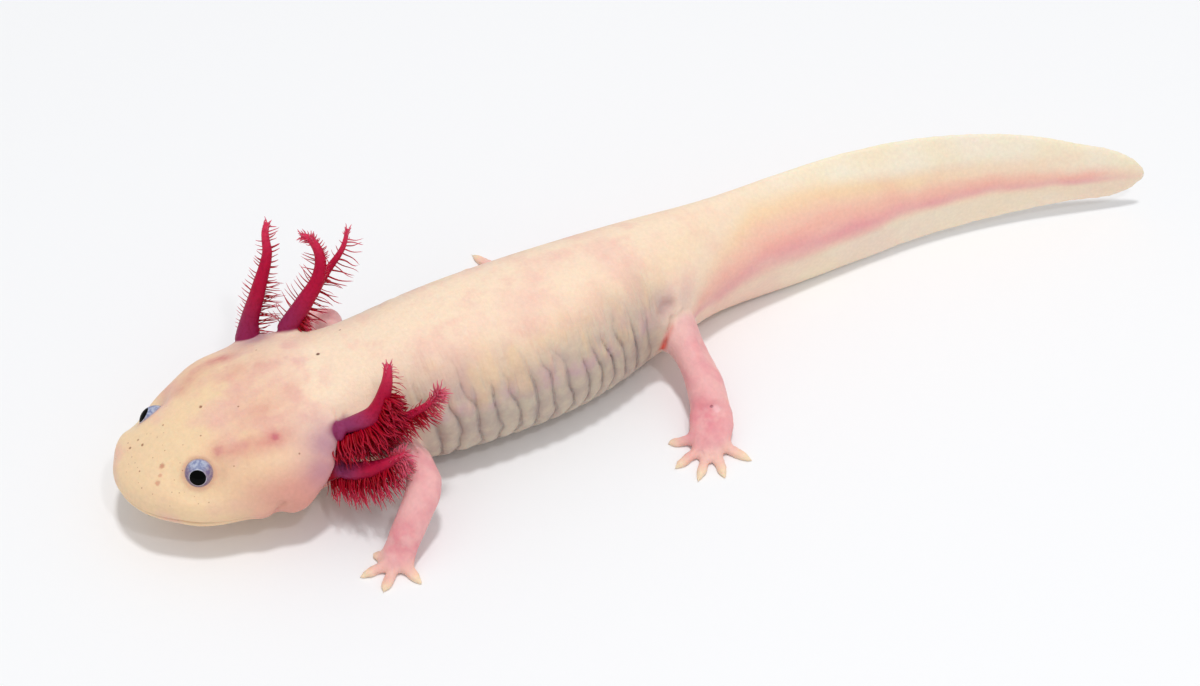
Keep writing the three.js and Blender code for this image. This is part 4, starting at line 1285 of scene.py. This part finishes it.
# ---------------------------------------------------------------- the animal
def make_skin():
    mesh = refine(thin_out(smooth_skin(rough_skin())))
    mesh.name = "skin"
    off_body = distance_from(BODY_NODES, places_of(mesh))
    off_limbs = distance_from(LIMB_NODES, places_of(mesh))
    move_to(mesh, shape_stalks(places_of(mesh), np.minimum(off_body, off_limbs)))
    joint = step(1.5, 0.3, np.maximum(off_body, off_limbs))
    move_to(mesh, raised(places_of(mesh), normals_of(mesh), -JOINT_CREASE * joint))
    move_to(mesh, shape_toes(places_of(mesh), normals_of(mesh), Smoother(mesh)))
    for shape in (shape_swellings, shape_gill_covers, shape_mouth, shape_creases):
        move_to(mesh, shape(places_of(mesh), normals_of(mesh)))
    move_to(mesh, shape_tail(places_of(mesh)))
    move_to(mesh, shape_furrows(places_of(mesh), normals_of(mesh), step(1.6, 0.3, off_body)))
    places = set_lids(places_of(mesh))
    places[:, 2] = np.maximum(places[:, 2], FLOOR_GAP * MM)
    move_to(mesh, places)
    sharpen_floor_line(mesh)
    mark_skin(mesh, off_body, off_limbs)
    mesh.shade_smooth()
    mesh.materials.clear()
    mesh.materials.append(FINISHES["skin"])
    skin = new_object("skin", mesh)
    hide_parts(*BODY_NODES, *LIMB_NODES, *[f"gill_{name}" for name in GILLS])
    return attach(skin, "root")


FINISHES = {"skin": skin_finish(), "gill": gill_finish(), "eye": eye_finish()}
make_skin()
for side in SIDES:
    make_eye(side)
for seed, (name, gill) in enumerate(GILLS.items()):
    make_filaments(f"filaments_{name}", gill, seed)


# ---------------------------------------------------------------- the studio
def add_camera():
    data = bpy.data.cameras.new("camera")
    data.lens = CAMERA["lens"]
    data.sensor_width = 36
    data.clip_end = 10
    camera = new_object("camera", data)
    turn, tilt = math.radians(CAMERA["azimuth"]), math.radians(CAMERA["elevation"])
    back = Vector((math.sin(turn) * math.cos(tilt), -math.cos(turn) * math.cos(tilt), math.sin(tilt)))
    camera.location = spot(*CAMERA["target"]) + back * CAMERA["distance"] * MM
    camera.rotation_mode = "QUATERNION"
    camera.rotation_quaternion = (-back).to_track_quat("-Z", "Y")
    bpy.context.scene.camera = camera


def add_floor():
    bm = bmesh.new()
    bmesh.ops.create_grid(bm, x_segments=1, y_segments=1, size=FLOOR_REACH)
    mesh = mesh_from(bm, "floor")
    f = Finish("floor")
    f.set(Base_Color="F6F7F9", Roughness=0.9)
    mesh.materials.append(f.material)
    new_object("floor", mesh)


def add_light():
    world = bpy.data.worlds.new("studio")
    bpy.context.scene.world = world
    world.use_nodes = True
    world.node_tree.nodes["Background"].inputs["Color"].default_value = (1, 1, 1, 1)
    world.node_tree.nodes["Background"].inputs["Strength"].default_value = SKYLIGHT
    for name, lamp in LAMPS.items():
        data = bpy.data.lights.new(name, "AREA")
        data.size = lamp["size"]
        data.energy = lamp["power"]
        softbox = new_object(name, data)
        softbox.location = lamp["place"]
        softbox.rotation_mode = "QUATERNION"
        softbox.rotation_quaternion = Vector(lamp["place"]).to_track_quat("Z", "Y")


add_camera()
add_floor()
add_light()
bpy.context.scene.view_settings.view_transform = "Standard"
